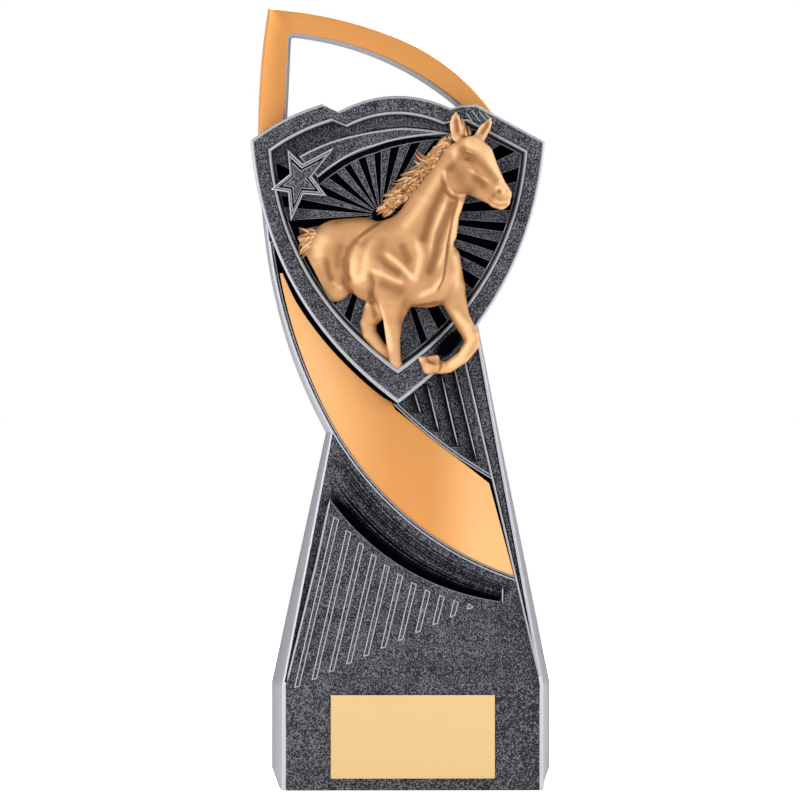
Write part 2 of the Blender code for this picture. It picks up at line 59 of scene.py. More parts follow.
WHITE = (1, 1, 1, 1)

camera = bpy.data.objects.new("camera", bpy.data.cameras.new("camera"))
bpy.context.scene.collection.objects.link(camera)
camera.data.sensor_width = SENSOR
camera.data.lens = SENSOR * VIEW_DISTANCE / VIEW_HEIGHT
camera.data.clip_end = 100
towards_camera = Vector((math.sin(VIEW_AZIMUTH), -math.cos(VIEW_AZIMUTH), 0))
camera.location = VIEW_TARGET + VIEW_DISTANCE * towards_camera
camera.rotation_euler = (-towards_camera).to_track_quat("-Z", "Y").to_euler()
bpy.context.scene.camera = camera

floor_mesh = bpy.data.meshes.new("floor")
floor_mesh.from_pydata(
    [(x * FLOOR_HALF, y * FLOOR_HALF, 0) for x, y in ((-1, -1), (1, -1), (1, 1), (-1, 1))],
    [],
    [(0, 1, 2, 3)],
)
floor = bpy.data.objects.new("floor", floor_mesh)
bpy.context.scene.collection.objects.link(floor)
floor_paint = bpy.data.materials.new("floor_paper")
floor_paint.use_nodes = True
paper = floor_paint.node_tree.nodes["Principled BSDF"]
paper.inputs["Base Color"].default_value = FLOOR_COLOUR
paper.inputs["Roughness"].default_value = 0.9
paper.inputs["Specular IOR Level"].default_value = 0.1
paper.inputs["Emission Color"].default_value = WHITE
paper.inputs["Emission Strength"].default_value = FLOOR_GLOW
floor.data.materials.append(floor_paint)


def lamp(name, place, size, watts):
    """A square soft lamp that faces the middle of the trophy."""
    made = bpy.data.objects.new(name, bpy.data.lights.new(name, "AREA"))
    made.data.energy = watts
    made.data.size = size
    made.location = place
    made.rotation_euler = (VIEW_TARGET - made.location).to_track_quat("-Z", "Y").to_euler()
    bpy.context.scene.collection.objects.link(made)


lamp("key_lamp", (-0.75, -1.00, 0.95), 0.55, 9)
lamp("fill_lamp", (1.00, -0.85, 0.45), 0.60, 4)
lamp("left_lamp", (-1.10, 0.10, 0.35), 0.60, 6)
lamp("right_lamp", (1.10, 0.20, 0.35), 0.60, 6)
lamp("back_lamp", (0.20, 1.20, 0.80), 0.70, 10)

world = bpy.data.worlds.new("studio")
world.use_nodes = True
bpy.context.scene.world = world
room = world.node_tree
room_light = room.nodes["Background"]
room_light.inputs["Color"].default_value = WHITE
room_light.inputs["Strength"].default_value = ROOM_LIGHT
backdrop = room.nodes.new("ShaderNodeBackground")
backdrop.inputs["Color"].default_value = WHITE
light_path = room.nodes.new("ShaderNodeLightPath")
either = room.nodes.new("ShaderNodeMixShader")
room.links.new(light_path.outputs["Is Camera Ray"], either.inputs["Fac"])
room.links.new(room_light.outputs["Background"], either.inputs[1])
room.links.new(backdrop.outputs["Background"], either.inputs[2])
room.links.new(either.outputs["Shader"], room.nodes["World Output"].inputs["Surface"])
bpy.context.scene.view_settings.view_transform = "Standard"

# Tower
# Solid polyresin, cast upright in a rubber mould: a plinth, a leaning column and the ribbon's loop over it.
# It is sprayed black, sponged with pewter grey, and its edges are rubbed with silver by hand.
MM = 0.001
PLINTH_HEIGHT = 32.0
LEAN = 0.084
BASE_DEPTH = 48.0
HALF_WIDTH = 39.9
HEIGHT = 239.0
WAIST = (-24.8, 109.3)
SHOULDER = (19.9, 141.7)
LOOP_FOOT = (24.5, 207.3)
LOOP_APEX = (-43.2, HEIGHT)
LOOP_LEFT_BOW = 2.6
LOOP_SIDE_BAND = 6.8
LOOP_TOP_BAND = 7.9
SASH_TOP = (-44.0, 167.6)
FOOT_HEIGHT = 9.0
# Heights, then how far the middle of the flanks stands out past the front edge
FLARE_BY_HEIGHT = ((0, 6, 32, 109, 150, 239), (0.7, 2.9, 2.9, 1.3, 0.8, 0.8))
CHAMFER_BY_HEIGHT = ((0, 30, 40, 109, 160, 239), (1.1, 1.1, 0.75, 0.45, 0.3, 0.3))
# From front to back: the face of a ring (-1 front, 0 the flank's middle, 1 back), how many chamfers it
# stands in from the outline and back from the face, and its tone
SLAB_RINGS = (
    (-1, 1.25, 0.0, 0.0), (-1, 1.0, 0.0, 0.75), (-1, 0.0, 0.9, 0.7), (-1, -0.02, 1.6, 0.46),
    (0, 0, 0, 0.38),
    (1, -0.02, 1.6, 0.15), (1, 0.0, 0.9, 0.5), (1, 1.0, 0.0, 0.4), (1, 1.25, 0.0, 0.0),
)
# Across a bead: the place in its width, how much of its height it reaches and how much of its tone
BEAD_ROWS = ((-0.5, -0.3, 0), (-0.25, 0.8, 1), (0, 1, 1), (0.25, 0.8, 1), (0.5, -0.3, 0))
FINE_STEP = 1.6
MITRE_LIMIT = 0.15
SOUND_SHARE = 0.97
SEAM_REACH = 0.4
SPECKLE_SCALE = 2350
FLECK_SCALE = 3600
PAINT_GRAIN_SCALE = 5200
BLACK = (0.0012, 0.0012, 0.002, 1)
DARK_PEWTER = (0.010, 0.0105, 0.015, 1)
GREY_PEWTER = (0.168, 0.171, 0.198, 1)
RUBBED_SILVER = (0.39, 0.395, 0.43, 1)


class Wire:
    """A node's output that takes part in sums: each operator adds a Math node."""

    def __init__(self, tree, socket):
        self.tree = tree
        self.socket = socket

    def sum_with(self, operation, first, second):
        return node(self.tree, "ShaderNodeMath", {"operation": operation}, {0: first, 1: second})

    def __add__(self, other):
        return self.sum_with("ADD", self, other)

    def __radd__(self, other):
        return self.sum_with("ADD", other, self)

    def __sub__(self, other):
        return self.sum_with("SUBTRACT", self, other)

    def __rsub__(self, other):
        return self.sum_with("SUBTRACT", other, self)

    def __mul__(self, other):
        return self.sum_with("MULTIPLY", self, other)

    def __rmul__(self, other):
        return self.sum_with("MULTIPLY", other, self)

    def between(self, start, end):
        """0 below start, 1 above end, and a smooth rise from one to the other."""
        sockets = {"Value": self, "From Min": start, "From Max": end}
        return node(self.tree, "ShaderNodeMapRange", {"interpolation_type": "SMOOTHSTEP"}, sockets)


def node(tree, kind, settings, sockets, output=0):
    """Adds a node: its settings first, then the value or the wire of each socket."""
    made = tree.nodes.new(kind)
    for name, value in settings.items():
        setattr(made, name, value)
    for name, value in sockets.items():
        if isinstance(value, Wire):
            tree.links.new(value.socket, made.inputs[name])
        else:
            made.inputs[name].default_value = value
    return Wire(tree, made.outputs[output])


def mixed(factor, first, second):
    """A colour between two, where a Math node would turn it grey."""
    settings = {"data_type": "RGBA", "clamp_factor": True}
    return node(factor.tree, "ShaderNodeMix", settings, {"Factor": factor, 6: first, 7: second}, output=2)


def finish(name, colour_of, metallic, specular=0.5):
    """A material whose colour, roughness and relief, and its metal if that varies, come from a function."""
    made = bpy.data.materials.new(name)
    made.use_nodes = True
    tree = made.node_tree
    shader = tree.nodes["Principled BSDF"]
    shader.inputs["Metallic"].default_value = metallic
    shader.inputs["Specular IOR Level"].default_value = specular
    colour, roughness, relief, distance, *metal = colour_of(tree)
    tree.links.new(colour.socket, shader.inputs["Base Color"])
    if metal:
        tree.links.new(metal[0].socket, shader.inputs["Metallic"])
    tree.links.new(roughness.socket, shader.inputs["Roughness"])
    bump = node(tree, "ShaderNodeBump", {}, {"Height": relief, "Distance": distance, "Strength": 1.0})
    tree.links.new(bump.socket, shader.inputs["Normal"])
    return made


def noise(tree, place, scale, detail=2.0, roughness=0.5):
    sockets = {"Vector": place, "Scale": scale, "Detail": detail, "Roughness": roughness}
    return node(tree, "ShaderNodeTexNoise", {}, sockets)


def place_of(tree):
    return node(tree, "ShaderNodeTexCoord", {}, {}, output="Object")


def tone_of(tree):
    return node(tree, "ShaderNodeAttribute", {"attribute_name": "tone"}, {}, output="Fac")


def part_of(place, axis):
    return node(place.tree, "ShaderNodeSeparateXYZ", {}, {"Vector": place}, output=axis)


def pewter_look(tree):
    """Tone 1 is a rubbed silver edge, 0 the sponged pewter and -1 the black left in the recesses, which also
    carries painted shade and shadow. The right side of the plinth and of the face above it is painted darker,
    as shade."""
    place = place_of(tree)
    tone = tone_of(tree)
    grain = noise(tree, place, SPECKLE_SCALE, 2.0, 0.7)
    cloud = noise(tree, place, 190, 3.0, 0.6)
    fleck = noise(tree, place, FLECK_SCALE, 1.0)
    across = part_of(place, 0)
    up = part_of(place, 2)
    # Painted shade: less of the grey sponge on the right side of the plinth and of the face above it
    right_side_shade = across.between(0.010, 0.034) * (1 - up.between(0.060, 0.100))
    sponged = (grain + 0.16 * cloud - 0.022 * right_side_shade).between(0.552, 0.68)
    pewter = mixed(sponged, DARK_PEWTER, GREY_PEWTER)
    rubbed = (tone * (0.75 + 0.5 * fleck) - 0.18 * grain).between(0.12, 0.62)
    washed = (0 - tone - 0.2 * grain).between(-0.05, 0.55)
    colour = mixed(washed, mixed(rubbed, pewter, RUBBED_SILVER), BLACK)
    roughness = 0.50 - 0.16 * rubbed + 0.1 * fleck
    return colour, roughness, grain + 0.5 * fleck, 0.00006, 0.35 + 0.65 * washed


pewter = finish("antique_pewter", pewter_look, 0.35, 0.3)


def half_depth(z):
    """How far the front and back planes stand from the middle. Below the plinth's top they are upright."""
    return BASE_DEPTH / 2 - LEAN * max(0.0, z - PLINTH_HEIGHT)


def on_face(x, z, height):
    """The point, in metres, that stands a height in front of the front plane."""
    return (x * MM, -(half_depth(z) + height) * MM, z * MM)


def path(corners, step=FINE_STEP):
    """An open line through corners (x, z) or (x, z, bow): the edge that arrives at a corner with a bow is
    an arc whose middle stands that far to the left of the edge's direction."""
    points = [np.array(corners[0][:2], float)]
    for before, corner in zip(corners[:-1], corners[1:]):
        start = np.array(before[:2], float)
        chord = np.array(corner[:2], float) - start
        length = np.hypot(*chord)
        side = np.array((-chord[1], chord[0])) / length
        bow = corner[2] if len(corner) > 2 else 0
        steps = max(1, round(length / step))
        for count in range(1, steps + 1):
            share = count / steps
            points.append(start + chord * share + side * 4 * bow * share * (1 - share))
    return np.array(points)


def bowed(corners, step=FINE_STEP):
    """A closed outline through corners, with the bows of an open line."""
    return path([corners[-1], *corners], step)[1:]


def inset(outline, distance):
    """A counter-clockwise outline moved inwards by a distance, or by one distance for each point. Points that
    come too close to the outline, as beside a sharp corner, are spread between their sound neighbours."""
    back = outline - np.roll(outline, 1, axis=0)
    ahead = np.roll(outline, -1, axis=0) - outline
    back = back / np.linalg.norm(back, axis=1, keepdims=True)
    ahead = ahead / np.linalg.norm(ahead, axis=1, keepdims=True)
    inward_back = np.stack((-back[:, 1], back[:, 0]), axis=1)
    inward_ahead = np.stack((-ahead[:, 1], ahead[:, 0]), axis=1)
    inward = inward_back + inward_ahead
    spread = np.maximum(np.sum(inward * inward_back, axis=1), MITRE_LIMIT)
    distance = np.broadcast_to(distance, len(outline))
    moved = outline + inward * (distance / spread)[:, None]
    along = np.roll(outline, -1, axis=0) - outline
    offset = moved[:, None] - outline[None]
    share = np.clip((offset * along).sum(axis=2) / (along**2).sum(axis=1), 0, 1)
    clear = np.linalg.norm(offset - along * share[:, :, None], axis=2).min(axis=1)
    sound = np.flatnonzero(clear > SOUND_SHARE * np.abs(distance) - 1e-6)
    count = len(outline)
    at = np.concatenate((sound - count, sound, sound + count))
    columns = [np.interp(np.arange(count), at, np.tile(moved[sound, axis], 3)) for axis in (0, 1)]
    return np.stack(columns, axis=1)


def inside(points, outline):
    """Which points lie within a closed outline, by counting the edges to the right of each."""
    crossed = np.zeros(len(points), bool)
    for start, end in zip(outline, np.roll(outline, -1, axis=0)):
        spans = (start[1] > points[:, 1]) != (end[1] > points[:, 1])
        rise = end[1] - start[1] if end[1] != start[1] else 1e-9
        at = start[0] + (points[:, 1] - start[1]) * (end[0] - start[0]) / rise
        crossed ^= spans & (points[:, 0] < at)
    return crossed


class Casting:
    """Collects the points, faces and tones of one piece."""

    def __init__(self):
        self.points = []
        self.tones = []
        self.faces = []

    def ring(self, points, tone):
        """Adds points in metres, with one tone or a tone for each, and gives their numbers."""
        first = len(self.points)
        self.points += [tuple(point) for point in points]
        self.tones += list(np.broadcast_to(tone, len(points)))
        return list(range(first, len(self.points)))

    def level(self, outline, height, tone):
        """A ring that follows an outline at a height above the front plane."""
        heights = np.broadcast_to(height, len(outline))
        return self.ring([on_face(x, z, rise) for (x, z), rise in zip(outline, heights)], tone)

    def wall(self, near, far, closed=True):
        """Quads between two rings of as many points."""
        count = len(near)
        for index in range(count if closed else count - 1):
            after = (index + 1) % count
            self.faces.append((near[index], near[after], far[after], far[index]))

    def skin(self, rings, closed=True):
        for near, far in zip(rings[:-1], rings[1:]):
            self.wall(near, far, closed)

    def cap(self, outer, holes=(), turned=False, seams=()):
        """Fills a ring, around any holes, with triangles that keep its edges and any seams between points."""
        rings = [outer, *holes]
        numbers = [index for ring in rings for index in ring]
        flat = [Vector((self.points[index][0], self.points[index][2])) / MM for index in numbers]
        places = {index: place for place, index in enumerate(numbers)}
        edges = [(places[a], places[b]) for ring in rings for a, b in zip(ring, ring[1:] + ring[:1])]
        edges += [(places[a], places[b]) for a, b in seams]
        made = delaunay_2d_cdt(flat, edges, [], 0, 1e-6)
        corners = np.array([tuple(point) for point in made[0]])
        triangles = np.array(made[2])
        middles = corners[triangles].mean(axis=1)
        outlines = [np.array([tuple(flat[places[index]]) for index in ring]) for ring in rings]
        kept = inside(middles, outlines[0])
        for hole in outlines[1:]:
            kept &= ~inside(middles, hole)
        start = self.points[outer[0]]
        height = -start[1] / MM - half_depth(start[2] / MM)
        for triangle in triangles[kept]:
            face = []
            for corner in triangle:
                if not made[3][corner]:
                    made[3][corner].append(len(numbers))
                    numbers += self.level([corners[corner]], height, self.tones[outer[0]])
                face.append(numbers[made[3][corner][0]])
            self.faces.append(tuple(reversed(face)) if turned else tuple(face))

    def form(self, outline, profile, lift=0.0, shrink=None):
        """A raised or sunk form: rings at (inset, height over the lift, tone), with the last one filled."""
        shrink = shrink or (lambda distance: inset(outline, distance))
        rings = [self.level(shrink(distance), lift + height, tone) for distance, height, tone in profile]
        self.skin(rings)
        self.cap(rings[-1])

    def bead(self, line, width, height, lift=0.0, tone=1.0):
        """A low half-round bead along a line, tapered at its ends."""
        along = np.gradient(line, axis=0)
        side = np.stack((-along[:, 1], along[:, 0]), axis=1) / np.linalg.norm(along, axis=1)[:, None]
        ends = np.ones(len(line))
        ends[0] = ends[-1] = 0.05
        rows = []
        for across, rise, lit in BEAD_ROWS:
            row = line - side * (across * width * ends)[:, None]
            rows.append(self.level(row, lift + rise * height * ends, lit * tone))
        self.skin(rows, closed=False)

    def made(self, name, material, smooth=35):
        mesh = bpy.data.meshes.new(name)
        mesh.from_pydata(self.points, [], self.faces)
        tones = mesh.attributes.new("tone", "FLOAT", "POINT")
        tones.data.foreach_set("value", np.array(self.tones, np.float32))
        mesh.materials.append(material)
        mesh.shade_smooth()
        mesh.set_sharp_from_angle(angle=math.radians(smooth))
        mesh.validate()
        piece = bpy.data.objects.new(name, mesh)
        bpy.context.scene.collection.objects.link(piece)
        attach(piece, "root")
        return piece


def body_outline():
    return bowed([
        (-HALF_WIDTH, 0),
        (HALF_WIDTH, 0),
        (HALF_WIDTH, FOOT_HEIGHT),
        (HALF_WIDTH, PLINTH_HEIGHT),
        SHOULDER,
        LOOP_FOOT,
        (-6.1, 230.8, -2.9),
        (*LOOP_APEX, -1.5),
        (*SASH_TOP, -LOOP_LEFT_BOW),
        (*WAIST, -3.1),
        (-HALF_WIDTH, PLINTH_HEIGHT),
        (-HALF_WIDTH, FOOT_HEIGHT),
    ])


def opening_outline():
    left = LOOP_APEX[0] - LOOP_LEFT_BOW + LOOP_SIDE_BAND
    top = HEIGHT - LOOP_TOP_BAND
    return bowed([
        (left, 202.0),
        (LOOP_FOOT[0] - 4.5, LOOP_FOOT[1] - 2.3),
        (left + 3.2, top + 0.4, -5.3),
        (left + 2.0, top + 0.2),
        (left + 1.3, top - 0.7),
    ])


def slab_rings(casting, outline, sign):
    """Rings from the front face round the rubbed edge, out to the flank's middle and round to the back."""
    heights = outline[:, 1]
    chamfer = np.interp(heights, *CHAMFER_BY_HEIGHT) * sign
    flare = -np.interp(heights, *FLARE_BY_HEIGHT) * sign
    rings = []
    for side, share, back, tone in SLAB_RINGS:
        moved = inset(outline, chamfer * share if side else flare)
        moved[:, 1] = np.where(heights == 0, 0.0, np.maximum(moved[:, 1], 0.0))
        out = side * (np.array([half_depth(z) for z in moved[:, 1]]) - back * np.abs(chamfer))
        points = np.stack((moved[:, 0], out, moved[:, 1]), axis=1) * MM
        rings.append(casting.ring(points, tone))
    return rings


tower = Casting()
outer_rings = slab_rings(tower, body_outline(), 1)
loop_rings = slab_rings(tower, opening_outline(), -1)
tower.skin(outer_rings)
tower.skin([ring[::-1] for ring in loop_rings])

# Cove and ridge
# A hollow swept under the sash, dark and brushed along its length, that ends on the lower face's ridge; just
# above the ridge it is painted black, as shade.
# It is part of the same casting, and its floor is deepest just above the ridge.
COVE_DEPTH = 3.4
COVE_STEPS = 60
RIDGE_ROUND = 0.35
LIP_BOW = 7.0
RIDGE_BOW = 6.4
RIDGE_HEAD = 89.2
RIDGE_FOOT = 57.5
STRIP_HEAD_WIDTH = 6.6
STRIP_FOOT_WIDTH = 1.0
SASH_FOOT = 63.3
SASH_HEAD = 95.5
# Below the brushed part: the place from the lip to the ridge, how much of the depth it has, and its tone,
# which darkens to black towards the ridge as painted shade
COVE_FLOOR = (
    (0.74, 0.91, -0.55), (0.80, 0.95, -0.75), (0.87, 0.98, -1.0), (0.95, 1.0, -1.0), (0.975, 0.7, -1.0),
    (0.99, 0.12, -0.4), (1.0, 0.0, 0.6),
)


def right_edge(z):
    return HALF_WIDTH + (SHOULDER[0] - HALF_WIDTH) * (z - PLINTH_HEIGHT) / (SHOULDER[1] - PLINTH_HEIGHT)


def left_edge(z):
    return -HALF_WIDTH + (WAIST[0] + HALF_WIDTH) * (z - PLINTH_HEIGHT) / (WAIST[1] - PLINTH_HEIGHT)


def strip_inner(z):
    rise = (z - PLINTH_HEIGHT) / (SHOULDER[1] - PLINTH_HEIGHT)
    return right_edge(z) - STRIP_FOOT_WIDTH - (STRIP_HEAD_WIDTH - STRIP_FOOT_WIDTH) * rise


def on_arc(start, end, bow, share):
    """The point at a share of an arc that sags to the right of its direction."""
    start = np.array(start, float)
    chord = np.array(end, float) - start
    side = np.array((chord[1], -chord[0])) / np.hypot(*chord)
    return start + chord * share + side * 4 * bow * share * (1 - share)


def cove_lip(share):
    start = (WAIST[0] + 1.5, WAIST[1] - 3.0)
    return on_arc(start, (strip_inner(SASH_FOOT), SASH_FOOT - 1.5), LIP_BOW, share)


def cove_ridge(share):
    start = (left_edge(RIDGE_HEAD) + 3.1, RIDGE_HEAD)
    return on_arc(start, (strip_inner(RIDGE_FOOT) - 6.3, RIDGE_FOOT), RIDGE_BOW, share)


shares = np.linspace(0, 1, COVE_STEPS + 1)
lip_line = np.array([cove_lip(share) for share in shares])
ridge_line = np.array([cove_ridge(share) for share in shares])
brush = np.random.default_rng(3)
across_sink_tone = [(0.0, 0.0, 0.0)]
# Across the hollow the tone darkens towards the ridge as painted shade, with brushed streaks at random
for across in np.arange(0.03, 0.70, 0.03):
    across_sink_tone.append((across, 1.22 * across, -0.28 - 0.35 * across + brush.uniform(-0.3, 0.3)))
across_sink_tone += COVE_FLOOR
cove_rows = []
for across, sink, tone in across_sink_tone:
    row = lip_line + (ridge_line - lip_line) * across
    depth = COVE_DEPTH * np.sin(math.pi * (0.06 + 0.84 * shares)) ** 0.6
    depth = depth * np.interp(shares, [0, 0.12], [0.35, 1.0])
    depth[0] = 0
    depth[-1] = 0
    tones = np.full(len(shares), tone)
    if 0 < across < 1:
        tones = tone * np.interp(shares, [0, 0.15], [0.4, 1.0])
        tones[-1] = 0.3
        row[-1] += (RIDGE_ROUND, 0)
    cove_rows.append(tower.level(row, -sink * depth, tones))
tower.skin(cove_rows, closed=False)
face_line = ridge_line + (0, -RIDGE_ROUND)
face_line[0] = ridge_line[0] + (-RIDGE_ROUND, -0.2)
face_line[-1] = ridge_line[-1] + (RIDGE_ROUND, -RIDGE_ROUND)
face_row = tower.level(face_line, 0, 0)
tower.wall(cove_rows[-1], face_row, closed=False)
left_column = [row[0] for row in cove_rows] + [face_row[0]]
right_column = [row[-1] for row in cove_rows] + [face_row[-1]]
cove_hole = cove_rows[0] + right_column[1:] + face_row[-2::-1] + left_column[-2:0:-1]
cove_hole = list(dict.fromkeys(cove_hole))


def plinth_seam(ring):
    """The two points of a face's ring where the straight plinth ends."""
    levels = [tower.points[index][2] / MM for index in outer_rings[0]]
    return [index for index, level in zip(ring, levels) if abs(level - PLINTH_HEIGHT) < SEAM_REACH][:2]


front = outer_rings[0]
back = outer_rings[-1]
tower.cap(front, holes=(loop_rings[0], cove_hole), seams=(plinth_seam(front),))
tower.cap(back, holes=(loop_rings[-1],), turned=True, seams=(plinth_seam(back),))
tower_piece = tower.made("tower", pewter)
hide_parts("resin_casting")

# Ribbon
# The loop's front and the sash's channel are sprayed satin gold over the black, inside pewter rims.
# The ribbon is part of the casting: the sash stands proud of the column and the gold lies in its channel.
SHIELD_TIP = (-4.5, 118.5)
RIM_HEIGHT = 1.4
RIM_WIDTH = 1.4
SASH_STEPS = 72
SASH_COLUMNS = 14
DEEP_GOLD = (0.69, 0.295, 0.077, 1)
# The pale gold of the painted reflection on the sash's two ends
REFLECTION_GOLD = (0.97, 0.51, 0.205, 1)
# The deeper gold of the painted shade on the loop's left side
LOOP_SHADE_GOLD = (0.59, 0.248, 0.058, 1)
GOLD_TOP = 158.0
GOLD_LEVEL = 0.65
GOLD_CROWN = 0.45
GOLD_SUNK = 0.2
LOOP_GOLD_END = 195.0
# Across, in metres, where the painted reflection on the sash reaches full strength on the left and on the
# right
REFLECTION_LEFT = -0.034
REFLECTION_RIGHT = 0.022
# Over the sash's edge: how far in, how high, and the tone
RIM_PROFILE = (
    (0.0, -1.0, 0.2), (0.0, RIM_HEIGHT - 0.25, 0.9), (0.30, RIM_HEIGHT, 0.9), (0.50, RIM_HEIGHT - 0.1, -0.3),
    (0.80, RIM_HEIGHT - 0.1, -0.2), (0.95, RIM_HEIGHT, 0.75), (1.15, RIM_HEIGHT - 0.1, 0.5),
    (1.3, 0.7, -1.0), (1.6, 0.3, -1.0),
)


def gold_look(tree):
    """Sprayed gold with a painted reflection that pales it towards the sash's two ends, and painted shade
    that deepens the loop's left side.
    """
    place = place_of(tree)
    across = part_of(place, 0)
    up = part_of(place, 2)
    left = 1 - across.between(REFLECTION_LEFT, -0.004)
    right = across.between(0.004, REFLECTION_RIGHT)
    on_sash = 1 - up.between(0.175, 0.190)
    # Painted reflection: paler towards the sash's two ends
    painted_reflection = on_sash * (0.85 * left + 0.9 * right)
    cloud = noise(tree, place, 45, 2.0)
    grain = noise(tree, place, PAINT_GRAIN_SCALE, 1.0)
    # Painted shade on the loop's left side
    loop_left_shade = (1 - on_sash) * (1 - across.between(-0.042, -0.033))
    colour = mixed(painted_reflection + 0.10 * cloud - 0.03, mixed(loop_left_shade, DEEP_GOLD, LOOP_SHADE_GOLD), REFLECTION_GOLD)
    return colour, 0.36 + 0.08 * grain, grain, 0.000006


satin_gold = finish("satin_gold", gold_look, 0.45)


def sash_corners(margin):
    """The corners of the sash's two long edges, each moved in by a margin."""
    lower = (strip_inner(SASH_FOOT) + 1.5, SASH_FOOT)
    upper = (strip_inner(SASH_HEAD) + 1.5, SASH_HEAD)
    side = [
        (SASH_TOP[0] + 1.2 * margin + 0.3, SASH_TOP[1]),
        (WAIST[0] + margin + 0.3, WAIST[1], -3.1),
        (lower[0] - 1.3 * margin, lower[1] + 0.9 * margin, -7.0),
    ]
    over = [
        (upper[0] - 1.0 * margin, upper[1] - 0.9 * margin),
        (SHIELD_TIP[0] - 0.4 * margin, SHIELD_TIP[1] - 0.9 * margin - 0.3, 1.2),
        (SASH_TOP[0] + 12.5, SASH_TOP[1]),
    ]
    return side, over


def resampled(line, count):
    """A line with its points spread evenly along it."""
    gone = np.concatenate(([0], np.cumsum(np.linalg.norm(np.diff(line, axis=0), axis=1))))
    at = np.linspace(0, gone[-1], count)
    return np.stack((np.interp(at, gone, line[:, 0]), np.interp(at, gone, line[:, 1])), axis=1)


def below(top, line):
    return line[line[:, 1] < top]


side, over = sash_corners(0)
sash = Casting()
sash.form(bowed([*side, *over]), RIM_PROFILE)
sash_piece = sash.made("sash_rims", pewter)
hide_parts("resin_casting")

side, over = sash_corners(RIM_WIDTH + 0.1)
lower_line = resampled(below(GOLD_TOP, path(side)), SASH_STEPS)
over = sash_corners(RIM_WIDTH + 0.7)[1]
upper_line = resampled(below(GOLD_TOP, path(over[::-1])), SASH_STEPS)
channel = Casting()
sash_rows = []
for column in range(SASH_COLUMNS + 1):
    share = column / SASH_COLUMNS
    line = lower_line + (upper_line - lower_line) * share
    crown = GOLD_CROWN * math.sin(math.pi * share) ** 0.7
    sash_rows.append(channel.level(line, GOLD_LEVEL + crown, 0))
sunk = channel.level(lower_line, GOLD_SUNK, 0)
sunk_above = channel.level(upper_line, GOLD_SUNK, 0)
channel.skin([sunk, *sash_rows, sunk_above], closed=False)
outline = body_outline()
on_left = (outline[:, 0] < -30) & (outline[:, 1] > LOOP_GOLD_END)
loop_side = outline[on_left | (outline[:, 1] > LOOP_FOOT[1] - 0.1)]
opening = opening_outline()
from_right = int(np.argmax(opening[:, 0]))
to_low = int(np.argmin(opening[:, 1]))
inner_side = np.concatenate((opening[from_right:], opening[:to_low + 1]))
band = np.concatenate((loop_side, inner_side[::-1]))


def by_edge(outer, inner):
    """One value along the loop's outer edge and another round its opening."""
    return np.where(np.arange(len(band)) < len(loop_side), outer, inner)


channel.form(band, [
    (by_edge(-0.88, 0.25), by_edge(-6.0, -1.3), 0),
    (by_edge(-0.38, 0.25), -1.3, 0),
    (by_edge(-0.25, 0.25), -0.4, 0),
    (by_edge(-0.02, 0.30), 0.15, 0),
    (by_edge(0.40, 0.55), 0.35, 0),
])
channel_piece = channel.made("ribbon_gold", satin_gold)
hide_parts("resin_casting")

# Borders and ribs
# Cast ridges on the column: a strip up the right border, a line down the left, slanted ribs under the
# cove that shorten to the right, and thin ribs beside the strip. Their edges are rubbed silver.
RIB_COUNT = 11
RIB_PITCH = 5.27
RIB_RISE = 2.38
RIB_START = 3.7
RIB_GAP = 2.2
RIB_WIDTH = 1.7
RIB_HEIGHT = 0.6
RIB_SLOPE = 0.232
RIB_PROFILE = (
    (0, -0.5, 0), (0, RIB_HEIGHT - 0.15, 0.85), (0.2, RIB_HEIGHT, 1.0), (0.42, RIB_HEIGHT - 0.05, -0.02),
)
SILVER_LINE = 0.55
STRIP_FOOT = PLINTH_HEIGHT + 3.0
STRIP_HEAD = 143.0
STRIP_MARGIN = 0.35
STRIP_PROFILE = (
    (0, -1, 0), (0, 1.3, 0.6), (0.15, 1.6, 1.0), (0.5, 1.7, 0.95), (0.72, 1.62, -0.8), (1.0, 1.6, -0.3),
    (1.4, 1.6, -0.18),
)
# The thin ribs beside the strip, from foot to head, and the tones across the groove on the left of each
PANEL_RIBS = (
    ((2.6, 115.0), (0.6, 121.5)), ((8.2, 109.3), (4.6, 124.0)), ((14.0, 104.8), (8.9, 127.0)),
    ((19.8, 100.2), (12.5, 130.7)),
)
GROOVE_TONES = ((-4.6, -0.2), (-3.2, -0.3), (-1.6, -0.42), (-0.3, -0.6), (0.3, -0.6), (0.9, -0.2))

trim = Casting()
strip = bowed([
    (strip_inner(STRIP_FOOT), STRIP_FOOT),
    (right_edge(STRIP_FOOT) - STRIP_MARGIN, STRIP_FOOT),
    (right_edge(STRIP_HEAD) - STRIP_MARGIN, STRIP_HEAD),
    (strip_inner(STRIP_HEAD), STRIP_HEAD),
], 6)
trim.form(strip, STRIP_PROFILE)
heights = np.linspace(96.0, 33.0, 28)
widths = np.interp(heights, [33, 38, 70, 90], [1.3, 1.6, 3.3, 3.7])
border_inner = np.array([(left_edge(z) + width, z) for z, width in zip(heights, widths)])
border_outer = np.array([(left_edge(z) + 0.6, z) for z in heights])
shade = np.interp(heights, [33, 80, 89, 96], [-0.45, -0.32, -0.25, 0.0])
trim.wall(trim.level(border_outer, 0.03, shade), trim.level(border_inner, 0.03, shade - 0.1), closed=False)
trim.bead(border_inner[heights < 90.4], SILVER_LINE + 0.25, 0.45)
end = np.array([(cove_ridge(1.0)[0] + 0.9, cove_lip(1.0)[1] + 0.2), cove_ridge(1.0) + (0.8, -0.5)])
trim.bead(resampled(end, 6), SILVER_LINE, 0.3)
